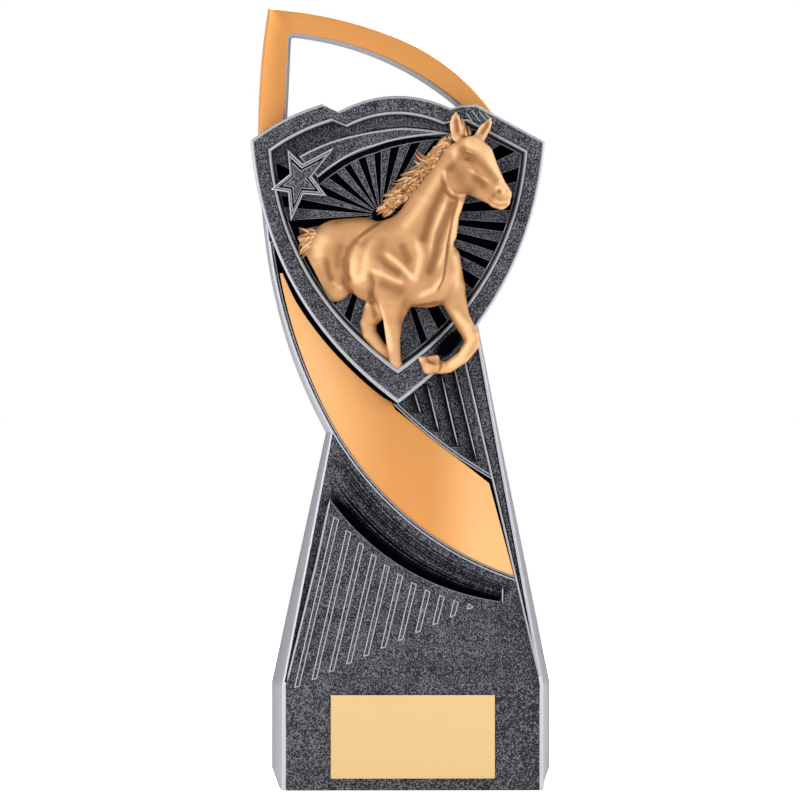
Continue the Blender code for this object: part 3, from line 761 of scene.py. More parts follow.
for index in range(RIB_COUNT):
    foot = np.array((
        left_edge(PLINTH_HEIGHT) + RIB_START + index * RIB_PITCH,
        PLINTH_HEIGHT - 0.7 + index * RIB_RISE,
    ))
    past_rib = ridge_line[:, 0] - foot[0] - RIB_SLOPE * (ridge_line[:, 1] - foot[1])
    met = int(np.argmax(past_rib > 0))
    tall = ridge_line[met, 1] - RIB_GAP - foot[1]
    if tall < 1.0:
        continue
    run = RIB_SLOPE * tall
    rib = np.array([
        foot,
        foot + (RIB_WIDTH, RIB_WIDTH / 4),
        foot + (RIB_WIDTH + run, tall - RIB_WIDTH / 2),
        foot + (run, tall),
    ])
    trim.form(rib, RIB_PROFILE)
for ends in PANEL_RIBS:
    line = resampled(np.array(ends), 8)
    trim.bead(line, 0.6, 0.5, tone=0.9)
    trim.skin([trim.level(line + (across, 0), 0.04, tone) for across, tone in GROOVE_TONES], closed=False)
trim_piece = trim.made("borders_and_ribs", pewter)
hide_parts("resin_casting")

# Shield
# A framed shield cast with the column: a sponged frame with a rubbed lip, round a sunk black floor
# that carries a fan of rays, a star and its swept trail.
SHIELD_WIDTH = 89.4
SHIELD_HEIGHT = 93.3
SHIELD_HEART = SHIELD_TIP[1] + 0.654 * SHIELD_HEIGHT
SHIELD_FRONT = 8.5
SHIELD_FLOOR = 3.8
SHIELD_BACK = -1.2
TIP_BAND_SHARE = 1.3
SHIELD_CORNERS = (
    (0, -0.005, -0.112), (0.505, 0.853, -0.112), (0.273, 0.975, 0), (0.222, 0.974, 0), (0.184, 0.963, 0),
    (-0.201, 0.953, -0.046), (-0.257, 0.977, 0), (-0.502, 0.857, -0.012),
)
# From the outer edge over the lip and the frame down to the floor: how far in, how high, and the tone
SHIELD_PROFILE = (
    (0.0, SHIELD_BACK, -0.1), (0.0, 7.6, 0.15), (0.05, 7.9, 0.9), (0.45, 8.42, 0.9), (0.95, 8.5, 0.25),
    (1.5, 8.5, 0.05), (3.0, 8.5, -0.12), (4.3, 8.45, -0.02), (4.9, 8.3, 0.12), (5.15, 8.1, -0.4),
    (5.4, 8.45, 0.8), (5.8, 8.5, 0.9), (6.15, 8.2, 0.6), (6.35, 7.4, -0.2), (6.95, 4.5, -0.4),
    (7.05, 4.4, 0.65), (7.3, 4.3, 0.4), (7.45, SHIELD_FLOOR, -1.0),
)
# Painted shadow of the raised foreleg on the frame: the middle of each shadow, its radius and how much darker
LEG_SHADES = ((12.0, 137.0, 9.0, 0.3), (12.5, 134.0, 6.0, 0.6))
# Short strokes on the frame in front of the loop's foot, each from its head to its foot
STREAKS = (
    ((16.3, 207.2), (18.6, 203.8)), ((18.2, 207.8), (21.0, 204.0)), ((20.2, 207.7), (22.8, 204.4)),
    ((22.1, 207.2), (24.3, 204.5)),
)
# The step under the shield's left edge, painted black as the shield's shadow on the sash: heights, then how
# wide it shows
SHADOW_STEP_BY_HEIGHT = ((118, 121, 150, 162), (0.6, 1.3, 1.6, 0.8))
SHADOW_STEP_DIRECTION = (-0.75, -0.65)
RAY_DEGREES = (
    -0.7, 10.7, 22, 33.5, 45.5, 57.5, 70.5, 85.4, 100, 116.2, 131.8, 149, 164.9, 179.6, 194.5, 209, 222.5,
    235, 247, 259, 282.5, 293.5, 305.6, 317.8, 329.9, 339.5, 349.6,
)
RAY_SHARE = 0.54
CLIP_MERGE = 0.12
RAY_HEIGHT = 0.8
RAY_HUB = 0.18
RAY_PROFILE = ((0, -0.3, -1), (0, RAY_HEIGHT - 0.2, 0.1), (0.09, RAY_HEIGHT, 1.0), (0.16, RAY_HEIGHT, -0.12))
RUMP_DEGREES = (190, 245)
RAY_CENTRE = (SHIELD_TIP[0] - 0.058 * SHIELD_WIDTH, SHIELD_TIP[1] + 0.614 * SHIELD_HEIGHT)


def shield_outline(inward):
    """The shield's outline, or the line that a frame of this width leaves inside it."""
    outer = bowed([
        (SHIELD_TIP[0] + u * SHIELD_WIDTH, SHIELD_TIP[1] + v * SHIELD_HEIGHT, bow * SHIELD_HEIGHT)
        for u, v, bow in SHIELD_CORNERS
    ])
    middle = np.array((SHIELD_TIP[0], SHIELD_HEART))
    shares = np.array((1 - 2 * inward / SHIELD_WIDTH, 1 - 2 * TIP_BAND_SHARE * inward / SHIELD_HEIGHT))
    return middle + (outer - middle) * shares


def direction(angle):
    return np.array((math.cos(angle), math.sin(angle)))


def clipped(outline, corner, along, keep_left=True):
    """The part of an outline on one side of a line through a corner, without points that all but coincide."""
    normal = np.array((-along[1], along[0])) * (1 if keep_left else -1)
    kept = []
    for start, end in zip(outline, np.roll(outline, -1, axis=0)):
        near = (start - corner) @ normal
        far = (end - corner) @ normal
        if near >= 0:
            kept.append(start)
        if (near >= 0) != (far >= 0):
            kept.append(start + (end - start) * near / (near - far))
    kept = np.array(kept)
    return kept[np.linalg.norm(kept - np.roll(kept, 1, axis=0), axis=1) > CLIP_MERGE]


shield = Casting()
shield.form(shield_outline(0), SHIELD_PROFILE, shrink=shield_outline)
places = np.array(shield.points)[:, [0, 2]] / MM
# The frame is painted darker behind the raised foreleg, as the leg's shadow
for across, up, radius, darker in LEG_SHADES:
    leg_shadow = np.exp(-np.sum((places - (across, up)) ** 2, axis=1) / radius**2)
    shield.tones = list(np.array(shield.tones) - darker * leg_shadow)
shield.cap(shield.level(shield_outline(0), SHIELD_BACK, -0.1), turned=True)
for ends in STREAKS:
    shield.bead(resampled(np.array(ends), 8), 0.55, 0.35, SHIELD_FRONT - 0.1, 0.8)
# A step painted black along the shield's lower left edge, as the shield's shadow on the sash
rim = shield_outline(0)
rim = rim[(rim[:, 0] < SHIELD_TIP[0] + 0.1) & (rim[:, 1] < SHADOW_STEP_BY_HEIGHT[0][-1])]
rim = rim[np.argsort(rim[:, 1])]
under = rim + np.interp(rim[:, 1], *SHADOW_STEP_BY_HEIGHT)[:, None] * SHADOW_STEP_DIRECTION
shadow_step_rows = ((under, 0.4), (under, 2.0), (rim, 2.4))
shield.skin([shield.level(line, height, -1) for line, height in shadow_step_rows], closed=False)
shield_piece = shield.made("shield_frame", pewter)
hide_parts("resin_casting")

fan = Casting()
field = shield_outline(7.3)
behind_rump = shield_outline(9.6)
centre = np.array(RAY_CENTRE)
for index, degrees in enumerate(RAY_DEGREES):
    middle = math.radians(degrees)
    pitch = (RAY_DEGREES[(index + 1) % len(RAY_DEGREES)] - RAY_DEGREES[index - 1]) % 360 / 2
    half = math.radians(RAY_SHARE * pitch / 2)
    hub = centre + RAY_HUB / math.sin(half) * direction(middle)
    within = behind_rump if RUMP_DEGREES[0] < degrees < RUMP_DEGREES[1] else field
    ray = clipped(within, centre, direction(middle - half))
    ray = clipped(ray, centre, direction(middle + half), keep_left=False)
    ray = clipped(ray, hub, np.array((-math.sin(middle), math.cos(middle))), keep_left=False)
    fan.form(ray, RAY_PROFILE, SHIELD_FLOOR)
fan_piece = fan.made("ray_fan", pewter)
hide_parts("resin_casting")

# Star and trail
# Low relief on the shield's floor, cast with it: a five-pointed star with a border and a heart, and the
# band that it trails along the frame's top. Every edge is rubbed silver.
STAR_CENTRE = (SHIELD_TIP[0] - 0.338 * SHIELD_WIDTH, SHIELD_TIP[1] + 0.7256 * SHIELD_HEIGHT)
STAR_SIZE = 10.0
STAR_POINTS = (
    (43, 1.52), (77, 0.53), (110, 1.03), (144, 0.34), (198, 0.93),
    (228, 0.50), (259, 1.29), (288, 0.45), (331, 0.99), (378, 0.42),
)
# From the star's edge to its heart: the share of its size, the height over the floor, and the tone
STAR_PROFILE = (
    (1.0, -0.3, -1), (1.0, 4.6, 0.4), (0.965, 4.9, 0.95), (0.89, 5.0, 0.95), (0.86, 4.9, 0.1),
    (0.81, 4.9, 0.2), (0.78, 5.0, 0.9), (0.72, 4.8, 0.7), (0.69, 4.0, -1), (0.60, 4.0, -1),
    (0.58, 4.7, 0.6), (0.55, 4.9, 0.9), (0.50, 4.9, 0.1),
)
TRAIL = (
    (-29.0, 186.9), (-19.8, 193.4, 0.3), (-11.7, 196.6, 0.3), (-3.4, 198.9, 0.2), (11.3, 200.4, 0.3),
    (11.3, 200.9), (-3.4, 202.5, -0.3), (-23.5, 198.7, -0.5), (-34.8, 193.6, -0.3),
)
TRAIL_STEP = (
    (-28.6, 184.6), (-19.0, 191.4, 0.3), (-11.2, 194.6, 0.3), (-3.2, 197.0, 0.2), (11.3, 199.0, 0.3),
    (11.3, 200.0), (-3.4, 199.8, -0.3), (-30.0, 189.0, -0.5),
)
PANEL_OVER_TRAIL = (
    (-20.5, 199.7), (-12, 201.7), (-3.4, 202.8), (4, 202.3), (9.5, 201.3), (14, 201.0), (8, 204.5),
    (-3, 206.2), (-12, 205.8), (-20, 203.4),
)
PANEL_OVER_STAR = (
    (-46.0, 190.0), (-33.0, 193.8), (-23.5, 198.6, 0.3), (-19.0, 200.2), (-19.5, 206.0), (-30.0, 206.0),
    (-47.0, 199.0),
)


def star_outline(scale):
    return np.array([
        STAR_CENTRE + share * scale * STAR_SIZE * direction(math.radians(degrees))
        for degrees, share in STAR_POINTS
    ])


relief = Casting()
for corners, *steps in (
    (TRAIL, (0, 2.2, 0.5), (0.2, 2.5, 0.95), (0.5, 2.6, 0.9), (0.8, 2.5, -0.1)),
    (TRAIL_STEP, (0, 1.0, 0.2), (0.15, 1.2, 0.7), (0.4, 1.2, -0.6)),
    (PANEL_OVER_TRAIL, (0, 1.3, -0.3), (0.2, 1.5, 0.1), (0.4, 1.5, -0.12)),
    (PANEL_OVER_STAR, (0, 1.5, -0.4), (0.4, 1.7, -0.3)),
):
    relief.form(bowed(corners), [(0, -0.3, -0.8), *steps], SHIELD_FLOOR)
relief.form(star_outline(1), STAR_PROFILE, SHIELD_FLOOR, star_outline)
relief_piece = relief.made("star_and_trail", pewter)
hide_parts("resin_casting")

# Horse
# A running horse in high relief, part of the casting, with its legs and rump against the shield's floor.
# It is modelled in clay from round muscle forms before moulding, then sprayed gold and shaded by airbrush.
HORSE_UNIT = 80.0 / 259
HORSE_RISE = 0.99 * HORSE_UNIT
HORSE_OUT = 0.965 * HORSE_UNIT
HORSE_PITCH = 0.96
HORSE_LOW = np.array([-122.0, 15.0, -3.0])
HORSE_HIGH = np.array([122.0, 300.0, 62.0])
CLAY_FAR = 20.0
CARVING = 0.75
BROAD_ROUNDS = 40
FINE_ROUNDS = 6
HORSE_GOLD = (0.45, 0.22, 0.082, 1)
HORSE_PALE = (0.77, 0.47, 0.235, 1)
HORSE_BROWN = (0.25, 0.105, 0.028, 1)
# Where the frame's inner edge cuts off the rump: a point of the line and the direction into the horse
RUMP_CUT = (-102.0, 169.3, 0.893, 0.451)
# Each form: how far it melts into the rest, how flat it is in depth, then balls (across, up, out, radius)
HORSE_FORMS = (
    (6, 0.55, (-62, 150, 0, 30), (-40, 152, 3, 30)),
    (6, 0.60, (-58, 160, 2, 22), (-34, 162, 6, 22)),
    (6, 0.60, (-68, 140, 2, 24), (-60, 114, 4, 13)),
    (3, 0.60, (-78, 130, 2, 14), (-63, 108, 3, 8)),
    (2, 0.80, (-84, 168, 4, 5), (-93, 160, 2, 8), (-89, 144, 2, 8)),
    (8, 0.60, (-36, 140, 4, 28), (-22, 130, 8, 31)),
    (3, 0.75, (-22, 134, 12, 29), (-8, 132, 15, 34)),
    (8, 0.80, (-14, 166, 12, 14), (4, 166, 14, 22)),
    (6, 0.80, (-4, 158, 16, 24), (2, 124, 18, 30)),
    (8, 0.85, (24, 150, 20, 28), (28, 124, 20, 30)),
    (5, 0.85, (44, 142, 16, 18), (50, 116, 16, 16)),
    (6, 0.90, (-6, 112, 24, 18), (-4, 96, 24, 14)),
    (7, 0.80, (20, 164, 18, 30), (33, 195, 20, 24), (50, 226, 22, 17), (58, 246, 24, 13)),
    (6, 0.90, (49, 168, 20, 9.5), (54, 200, 24, 8)),
    (4, 0.90, (56, 194, 24, 7), (61.5, 206, 26, 6)),
    (4, 0.45, (48, 260, 18, 5), (34, 241, 15, 8), (16, 223, 12, 9), (2, 208, 9, 9), (-11, 193, 7, 5)),
    (4, 0.90, (72, 252, 28, 14), (81, 247, 28, 12.5), (82, 240, 28, 13)),
    (2, 0.75, (61, 223, 32, 14.5), (66, 232, 31, 13)),
    (4, 0.85, (82, 242, 28, 13), (97, 215, 28, 10), (103, 207, 28, 9.5)),
    (4, 0.80, (70, 220, 28, 12), (94, 204, 28, 8)),
    (2, 0.80, (96, 200, 30, 6.5), (102, 198, 30, 6.5), (105, 200, 30, 6)),
    (2, 0.60, (59, 266, 28, 6.5), (57, 277, 29, 5.8), (57.2, 284, 29, 3.8), (57.4, 290, 29, 0.9)),
    (2, 0.60, (80, 263, 27, 6), (86.5, 273.5, 27, 5.2), (90.0, 279, 27, 3.2), (92, 284.5, 27, 0.8)),
    (4, 0.90, (-4, 100, 24, 15), (-5, 78, 22, 9), (-5, 62, 18, 7), (-3, 42, 12, 6), (0, 34, 8, 6)),
    (4, 0.90, (52, 112, 18, 14), (62, 84, 20, 9), (72, 66, 20, 8)),
    (2, 0.90, (72, 66, 20, 8), (73, 58, 20, 7.5), (64, 45, 20, 6.5), (50, 35, 18, 6), (42, 34, 18, 6)),
    (1.5, 1.10, (38, 35, 17, 6.5), (31, 35, 17, 7.0)),
    (1.5, 1.10, (30, 34, 17, 6.5), (24, 42, 17, 3.0), (21, 44, 17, 1.5)),
    (1.5, 1.10, (38, 39, 17, 4.5), (38.5, 44.5, 17, 2.4)),
    (1.5, 1.10, (24, 42, 17, 3.2), (37, 43.5, 17, 3.2)),
    (2, 1.00, (-22, 92, 10, 12), (-29.5, 79, 10, 8), (-28, 68, 10, 7.5), (-19, 56, 9, 6.5), (-8, 45, 7, 5.5)),
)
# Each stroke of the tool: its radius, how far it raises or presses in the clay, how pale or brown the
# airbrush leaves it, and its line
HORSE_STROKES = (
    (1.6, -2.0, -0.8, (-14, 183), (-27, 174), (-40, 163)),
    (3.2, -2.4, -0.6, (-38, 165), (-48, 153), (-52, 142), (-52, 128), (-49, 118)),
    (5.0, 1.8, 0.5, (-38, 159), (-44, 146), (-44, 128), (-39, 116)),
    (5.5, -1.2, -0.6, (-54, 160), (-59, 146), (-58, 130)),
    (8.0, 0.8, 0.5, (-70, 168), (-79, 154), (-76, 142)),
    (4.0, -1.8, -0.8, (-71, 146), (-69, 130), (-64, 118)),
    (3.0, 0.8, 0.3, (-66, 122), (-60, 116), (-53, 113)),
    (2.5, -1.5, -0.5, (-56, 126), (-50, 113), (-45, 107)),
    (4.0, 0.6, 0.4, (-48, 105), (-36, 99), (-28, 97)),
    (3.0, -0.3, -0.6, (-68, 178), (-50, 183), (-28, 183), (-10, 188)),
    (5.5, 1.2, 0.5, (-24, 164), (-30, 148), (-32, 134), (-36, 118)),
    (7.5, -1.0, -0.5, (-14, 168), (-18, 152), (-16, 140)),
    (3.2, 1.4, 0.6, (-15, 150), (-2, 140), (8, 130), (16, 121)),
    (4.0, -1.4, -0.8, (-20, 144), (-8, 134), (4, 126)),
    (3.2, 1.1, 0.5, (-28, 132), (-16, 127), (-4, 121), (6, 118)),
    (6.5, -1.0, -0.8, (-22, 120), (-8, 114), (8, 108)),
    (3.0, -1.8, -0.7, (-28, 130), (-26, 118), (-27, 106), (-25, 94), (-21, 82)),
    (4.0, 1.2, 0.5, (18, 162), (22, 146), (19, 130), (15, 120)),
    (4.5, -1.4, -0.7, (2, 160), (7, 148), (12, 136)),
    (6.0, 1.0, 0.3, (46, 238), (38, 220), (26, 201), (14, 184), (2, 172)),
    (4.6, -1.5, -1.0, (48, 221), (40, 204), (33, 190), (27, 169), (23, 158)),
    (3.2, 1.2, 0.5, (48, 204), (40, 184), (34, 169), (31, 142)),
    (4.8, -1.5, -1.0, (56, 202), (52, 190), (44, 174), (38, 159), (34, 142), (29, 124)),
    (3.0, 1.4, 0.4, (54, 187), (48, 169), (44, 149), (38, 132)),
    (1.3, -1.5, -0.8, (58.5, 205), (58, 198), (53, 180), (49, 154), (47, 138), (44, 122), (38, 110)),
    (3.2, 1.2, 0.9, (63, 201), (58, 187), (55, 169), (52, 149)),
    (4.5, 1.4, 0.5, (55, 150), (58, 134), (57, 112)),
    (3.6, 1.6, 0.4, (18, 104), (34, 112), (43, 123)),
    (2.4, -1.6, -0.9, (10, 92), (24, 95), (44, 99)),
    (3.4, 1.2, 0.5, (-21, 100), (-15, 84), (-10, 66), (-7, 50)),
    (4.2, -0.8, -0.6, (8, 104), (3, 88), (1, 72)),
    (3.4, 1.0, 0.5, (54, 92), (68, 75), (72, 62), (61, 43), (48, 34)),
    (2.2, -0.6, -0.5, (47, 92), (57, 76), (65, 62), (59, 51)),
    (2.2, 1.1, 0.55, (46.5, 233), (46.5, 222), (50, 213), (54, 208.5), (60, 206), (69, 207.5)),
    (2.0, -2.0, -0.6, (43.5, 224), (46, 212), (52, 205.5), (60, 202.5)),
    (9.0, -0.5, -0.8, (50, 240), (57, 227), (65, 215), (78, 205)),
    (7.0, 0.3, 1.0, (66, 262), (80, 257), (90, 250), (96, 236), (104, 222), (110, 212)),
    (3.5, 0.4, 0.5, (58, 262), (56, 248), (57, 238)),
    (4.6, -0.9, -0.8, (60, 256), (68, 249), (76, 242), (86, 234), (96, 223), (99, 219)),
    (4.2, -0.5, -0.6, (72, 227), (82, 218), (86, 212)),
    (1.9, 1.0, 0.35, (69, 232), (80, 226), (90, 219.5)),
    (2.8, -1.6, -1.2, (63, 252), (67, 245)),
    (1.8, 2.2, -0.9, (66.6, 245.2), (69.2, 244.4), (71.6, 243.4)),
    (1.3, -1.4, -2.4, (64.5, 247), (67.5, 247.8), (70.5, 246.8), (73, 244.6)),
    (1.0, 1.4, 0.4, (64.5, 250), (68.5, 250.4), (73, 247)),
    (1.2, -1.0, -1.6, (66.6, 242.8), (69, 241.8), (72, 242.6)),
    (1.6, -3.0, -1.3, (99.5, 211), (100.2, 208.4)),
    (1.3, 1.2, 0.6, (96, 212.5), (99.5, 215.3), (103.6, 213), (104.2, 207.5)),
    (3.5, -0.3, -0.6, (92, 208), (96, 204)),
    (0.8, -0.45, -0.5, (88.5, 204), (92.7, 198.8), (97.8, 196.2), (105, 196.2), (108, 197.5)),
    (1.8, 0.4, 0.3, (95, 201), (101, 199), (107, 200)),
    (2.2, -2.2, -0.8, (59.3, 268), (58.2, 276), (57.6, 284)),
    (1.1, 1.2, 0.7, (53.5, 270), (52.6, 278), (55.0, 287)),
    (1.1, 1.0, 0.6, (63, 268), (62, 280), (59.4, 287)),
    (1.8, -2.2, -0.8, (82, 267), (87, 274), (90, 281)),
    (1.1, 1.0, 0.7, (92, 271), (92.6, 279), (92.6, 285)),
    (1.1, 1.0, 0.6, (78, 269), (83.5, 278), (89, 284)),
    (1.4, -1.3, -0.7, (28, 45), (31, 40), (38, 38)),
    (1.3, -1.2, -0.6, (42, 41), (42, 35), (40, 29)),
)


def on_horse(x, z, out):
    """The point, in metres, at a place among the horse's forms."""
    across = SHIELD_TIP[0] + HORSE_UNIT * x
    return on_face(across, SHIELD_TIP[1] + HORSE_RISE * z, SHIELD_FLOOR + HORSE_OUT * out)


def round_cone(place, start, end, first, last):
    """Distance from places to a ball that grows or shrinks as it rolls from one point to another."""
    along = end - start
    share = np.clip((place - start) @ along / (along @ along), 0, 1)
    return np.linalg.norm(place - start - share[..., None] * along, axis=-1) - first - (last - first) * share


def melt(field, grid, melting, flat, balls):
    """Joins a chain of balls to a distance field, with a fillet where they meet."""
    balls = np.array(balls, float)
    reach = balls[:, 3].max() + 2 * melting + 4
    first = np.maximum((balls[:, :3].min(axis=0) - reach - HORSE_LOW) / HORSE_PITCH, 0).astype(int)
    last = ((balls[:, :3].max(axis=0) + reach - HORSE_LOW) / HORSE_PITCH).astype(int) + 1
    window = tuple(slice(a, b) for a, b in zip(first, last))
    stretch = np.array([1, 1, 1 / flat])
    axes = [values[part] for values, part in zip(grid, window)]
    place = np.stack(np.meshgrid(*axes, indexing="ij"), -1) * stretch
    distance = np.full(place.shape[:3], 1e3)
    for near, far in zip(balls[:-1], balls[1:]):
        rolled = round_cone(place, near[:3] * stretch, far[:3] * stretch, near[3], far[3])
        distance = np.minimum(distance, rolled)
    before = field[window]
    share = np.clip(0.5 + 0.5 * (before - distance) / melting, 0, 1)
    field[window] = before * (1 - share) + distance * share - melting * share * (1 - share)


def skinned(field):
    """The surface where a field passes zero: a point in each cell that it crosses, a quad round each edge."""
    corners = [(i, j, k) for i in (0, 1) for j in (0, 1) for k in (0, 1)]
    shape = field.shape
    parts = [field[i:shape[0] - 1 + i, j:shape[1] - 1 + j, k:shape[2] - 1 + k] for i, j, k in corners]
    count = sum((part < 0).astype(np.int8) for part in parts)
    active = (count > 0) & (count < 8)
    numbers = np.full(active.shape, -1)
    cells = np.argwhere(active)
    numbers[active] = np.arange(len(cells))
    values = np.stack([part[active] for part in parts], axis=1)
    total = np.zeros((len(cells), 3))
    crossings = np.zeros(len(cells))
    for a, first in enumerate(corners):
        for b, second in enumerate(corners):
            step = np.array(second) - np.array(first)
            if step.sum() != 1 or np.abs(step).sum() != 1:
                continue
            crossed = (values[:, a] < 0) != (values[:, b] < 0)
            share = np.where(crossed, values[:, a] / np.where(crossed, values[:, a] - values[:, b], 1), 0)
            total += np.where(crossed[:, None], np.array(first) + share[:, None] * step, 0)
            crossings += crossed
    points = cells + total / crossings[:, None]
    quads = []
    for axis in range(3):
        one, two = [(1, 2), (2, 0), (0, 1)][axis]
        start = tuple(slice(0, -1) if a == axis else slice(None) for a in range(3))
        end = tuple(slice(1, None) if a == axis else slice(None) for a in range(3))
        leaves = (field[start] < 0) & (field[end] >= 0)
        enters = (field[start] >= 0) & (field[end] < 0)
        for turned, crossed in ((False, leaves), (True, enters)):
            edges = np.argwhere(crossed)
            edges = edges[(edges[:, one] > 0) & (edges[:, two] > 0)]
            round_edge = []
            for back_one, back_two in ((0, 0), (1, 0), (1, 1), (0, 1)):
                cell = edges.copy()
                cell[:, one] -= back_one
                cell[:, two] -= back_two
                round_edge.append(numbers[cell[:, 0], cell[:, 1], cell[:, 2]])
            quad = np.stack(round_edge, axis=1)
            quads.append(quad[:, ::-1] if turned else quad)
    return points, np.concatenate(quads)


grid_counts = ((HORSE_HIGH - HORSE_LOW) / HORSE_PITCH).astype(int)
grid = [low + HORSE_PITCH * np.arange(count) for low, count in zip(HORSE_LOW, grid_counts)]
clay = np.full(grid_counts, CLAY_FAR, np.float32)
for melting, flat, *balls in HORSE_FORMS:
    melt(clay, grid, melting, flat, balls)
cut_across = (grid[0][:, None] - RUMP_CUT[0]) * RUMP_CUT[2] + (grid[1][None] - RUMP_CUT[1]) * RUMP_CUT[3]
clay = np.maximum(clay, -cut_across[:, :, None])
clay[:, :, 0] = 1.0
cells, quads = skinned(clay)
clay_points = HORSE_LOW + HORSE_PITCH * cells


def averaged(values, ends, rounds):
    """Values on the points of a mesh, evened out along its edges a number of times."""
    count = np.bincount(ends.ravel(), minlength=len(values)).astype(float)
    for _ in range(rounds):
        total = np.zeros_like(values)
        for axis in range(values.shape[1]):
            gained = np.bincount(ends[:, 0], values[ends[:, 1], axis], len(values))
            total[:, axis] = gained + np.bincount(ends[:, 1], values[ends[:, 0], axis], len(values))
        values = 0.4 * values + 0.6 * total / count[:, None]
    return values


def outward(points, quads):
    """The direction in which the surface faces at each point."""
    across = np.cross(points[quads[:, 2]] - points[quads[:, 0]], points[quads[:, 3]] - points[quads[:, 1]])
    facing = np.zeros_like(points)
    for corner in range(4):
        np.add.at(facing, quads[:, corner], across)
    return facing / np.maximum(np.linalg.norm(facing, axis=1, keepdims=True), 1e-9)


def near_line(places, line):
    """How far each place is from a line, and a weight that fades at the line's ends."""
    line = np.array(line, float)
    best = np.full(len(places), 1e3)
    fade = np.ones(len(places))
    last = len(line) - 2
    for number, (start, end) in enumerate(zip(line[:-1], line[1:])):
        along = end - start
        share = np.clip((places - start) @ along / (along @ along), 0, 1)
        distance = np.linalg.norm(places - start - share[:, None] * along, axis=1)
        closer = distance < best
        taper = np.ones(len(places))
        if number == 0:
            taper = np.minimum(taper, 0.25 + 2 * share)
        if number == last:
            taper = np.minimum(taper, 0.25 + 2 * (1 - share))
        best = np.where(closer, distance, best)
        fade = np.where(closer, taper, fade)
    return best, fade


edges = np.concatenate([quads[:, [corner, (corner + 1) % 4]] for corner in range(4)])
edges = np.unique(np.sort(edges, axis=1), axis=0)
clay_points = averaged(clay_points, edges, 2)
facing = outward(clay_points, quads)
shown = np.clip((facing[:, 2] - 0.05) * 3, 0, 1)
worked = np.zeros(len(clay_points))
painted = np.zeros(len(clay_points))
for radius, depth, paint, *line in HORSE_STROKES:
    distance, fade = near_line(clay_points[:, :2], line)
    stroke = fade * np.exp(-((distance / radius) ** 2))
    worked += CARVING * depth * stroke
    painted += paint * stroke
clay_points = clay_points + facing * (worked * shown)[:, None]
clay_points = averaged(clay_points, edges, 1)
facing = outward(clay_points, quads)
broad = np.sum((clay_points - averaged(clay_points, edges, BROAD_ROUNDS)) * facing, axis=1)
fine = np.sum((clay_points - averaged(clay_points, edges, FINE_ROUNDS)) * facing, axis=1)

horse = Casting()
horse.points = [on_horse(*point) for point in clay_points]
# Painted shade where the surface turns away from the front, on top of the airbrushed hollows and muscles
turned_away_shade = np.clip(0.55 - facing[:, 2], 0, 1)
horse.tones = list(np.clip(painted * shown + 0.35 * broad + 0.8 * fine - 0.9 * turned_away_shade, -1, 1))
horse.faces = [tuple(map(int, quad)) for quad in quads]


def horse_look(tree):
    """Gold paint that is airbrushed brown in the hollows and left pale on the muscles, and painted brown as
    shade where it turns away from the front.
    """
    place = place_of(tree)
    tone = tone_of(tree)
    cloud = noise(tree, place, 160, 2.0)
    grain = noise(tree, place, PAINT_GRAIN_SCALE, 1.0)
    lit = (tone + 0.2 * cloud - 0.1).between(-0.1, 0.9)
    hollow = (0.2 * cloud - 0.1 - tone).between(-0.1, 1.0)
    colour = mixed(hollow, mixed(lit, HORSE_GOLD, HORSE_PALE), HORSE_BROWN)
    return colour, 0.52 + 0.08 * grain, grain, 0.000006


horse_gold = finish("airbrushed_gold", horse_look, 0.22)
horse_piece = horse.made("horse", horse_gold, smooth=80)
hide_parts("resin_casting")

# Mane and tail
# Locks of hair, cast with the horse: ragged and wind-blown off the neck's crest, with a few at the tail.
LOCK_SIDES = 6
LOCK_STEPS = 7
LOCK_ANGLES = [2 * math.pi * corner / LOCK_SIDES for corner in range(LOCK_SIDES)]
MANE_LOCKS = 420
TAIL_LOCKS = 26
MANE_POINTS = 80
MANE_CREST = (
    (53, 262), (48, 251), (39, 238), (31, 228), (23, 218), (14, 207), (5, 199), (-5, 191), (-14, 185),
)
MANE_EDGE = (
    (53, 272), (43, 265), (34, 248), (22, 240), (12, 232), (2, 222), (-6, 209), (-13, 198), (-18, 190),
)
STRAY_LOCKS = (
    ((33, 242), (18, 253)), ((30, 240), (17, 249)), ((33, 240), (20, 246)), ((28, 237), (16, 242)),
)
FORELOCK = (
    ((62, 265), (63, 285)), ((65, 265), (64.5, 283)), ((68, 265), (66, 280)), ((71, 266), (68.5, 276)),
)
dice = np.random.default_rng(7)
hair = Casting()


def add_lock(root, tip, out, thickness, curl):
    """A tapered, bent strand from a root to a tip, drawn in the horse's units."""
    root = np.array(root, float)
    tip = np.array(tip, float)
    along = tip - root
    side = np.array((-along[1], along[0])) / np.hypot(*along)
    shade = dice.uniform(-1.0, 0.25)
    rings = []
    for step in range(LOCK_STEPS + 1):
        share = step / LOCK_STEPS
        middle = root + along * share + side * curl * math.sin(math.pi * share)
        radius = thickness * (1 - share) ** 0.6 * (0.5 + min(share * 3, 0.5)) + 0.12
        ring = []
        for angle in LOCK_ANGLES:
            x, z = middle + side * radius * math.cos(angle)
            lift = out * (1 - 0.25 * share) + radius * 0.8 * math.sin(angle)
            ring.append(on_horse(x, z, lift))
        # Each lock is paler on its front and darker underneath, a painted highlight and shade, and darker
        # towards its tip
        tones = [shade + 0.8 * math.sin(angle) - 0.5 * share for angle in LOCK_ANGLES]
        rings.append(hair.ring(ring, tones))
    hair.skin(rings)
    hair.faces.append(tuple(rings[0]))
    hair.faces.append(tuple(reversed(rings[-1])))


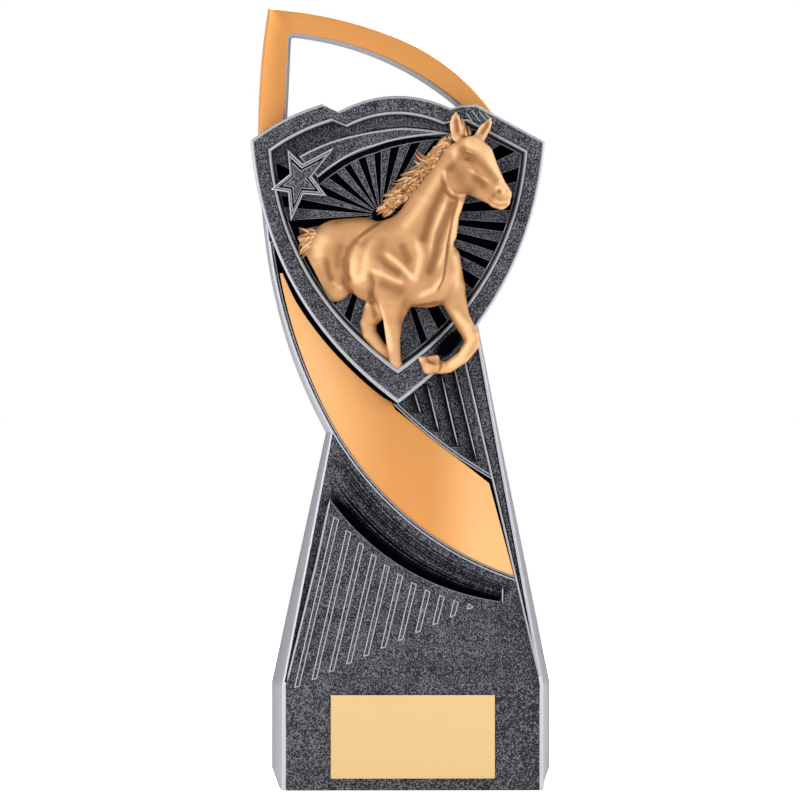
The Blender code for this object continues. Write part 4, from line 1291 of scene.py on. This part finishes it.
crest = resampled(np.array(MANE_CREST, float), MANE_POINTS)
fringe = resampled(np.array(MANE_EDGE, float), MANE_POINTS)
for count in range(MANE_LOCKS):
    along = dice.random() ** 0.9
    across = dice.random()
    place = int(along * (MANE_POINTS - 4))
    root = crest[place] + (fringe[place] - crest[place]) * across * 0.8
    flow = crest[min(place + 6, MANE_POINTS - 1)] - crest[max(place - 6, 0)]
    angle = math.atan2(flow[1], flow[0]) - math.radians(3 + 20 * across + dice.normal(0, 11))
    length = (8 + 8 * dice.random()) * (1.0 - 0.42 * along**4)
    tip = root + length * direction(angle)
    out = 28.5 - 6 * across - 6 * along + dice.normal(0, 0.8)
    add_lock(root, tip, out, 1.0 + 0.6 * dice.random(), dice.normal(0, 0.8))
for root, tip in STRAY_LOCKS:
    add_lock(root, tip, 20, 2.2, 2.0)
for count in range(TAIL_LOCKS):
    root = np.array((-80 - 8 * dice.random(), 150 + 21 * dice.random()))
    tip = root + (-9 - 6 * dice.random(), -6 - 10 * dice.random() + (root[1] > 168) * 10)
    add_lock(root, np.maximum(tip, (-98, 140)), 9, 1.9, dice.normal(0, 1.5))
for root, tip in FORELOCK:
    add_lock(root, tip, 33, 1.6, dice.normal(0, 1.4))
hair_piece = hair.made("mane_and_tail", horse_gold, smooth=80)
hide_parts("resin_casting")

# Engraving plate
# A stock sheet of pale gold anodised aluminium, 50 by 25.4 mm, stuck to the plinth and left blank.
BRUSHING = (60, 60, 4000)
PLATE_GOLD = (0.66, 0.455, 0.20, 1)
PLATE_GLINT = (0.70, 0.485, 0.222, 1)


def plate_look(tree):
    along = node(tree, "ShaderNodeMapping", {}, {"Vector": place_of(tree), "Scale": BRUSHING})
    brushed = noise(tree, along, 1.0, 2.0)
    shade = mixed(brushed, PLATE_GOLD, PLATE_GLINT)
    return shade, 0.38 + 0.08 * brushed, brushed, 0.000004


plate_metal = finish("engraving_plate", plate_look, 0.25)
plate_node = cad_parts["engraving_plate"]
plate_node.data.materials.clear()
plate_node.data.materials.append(plate_metal)
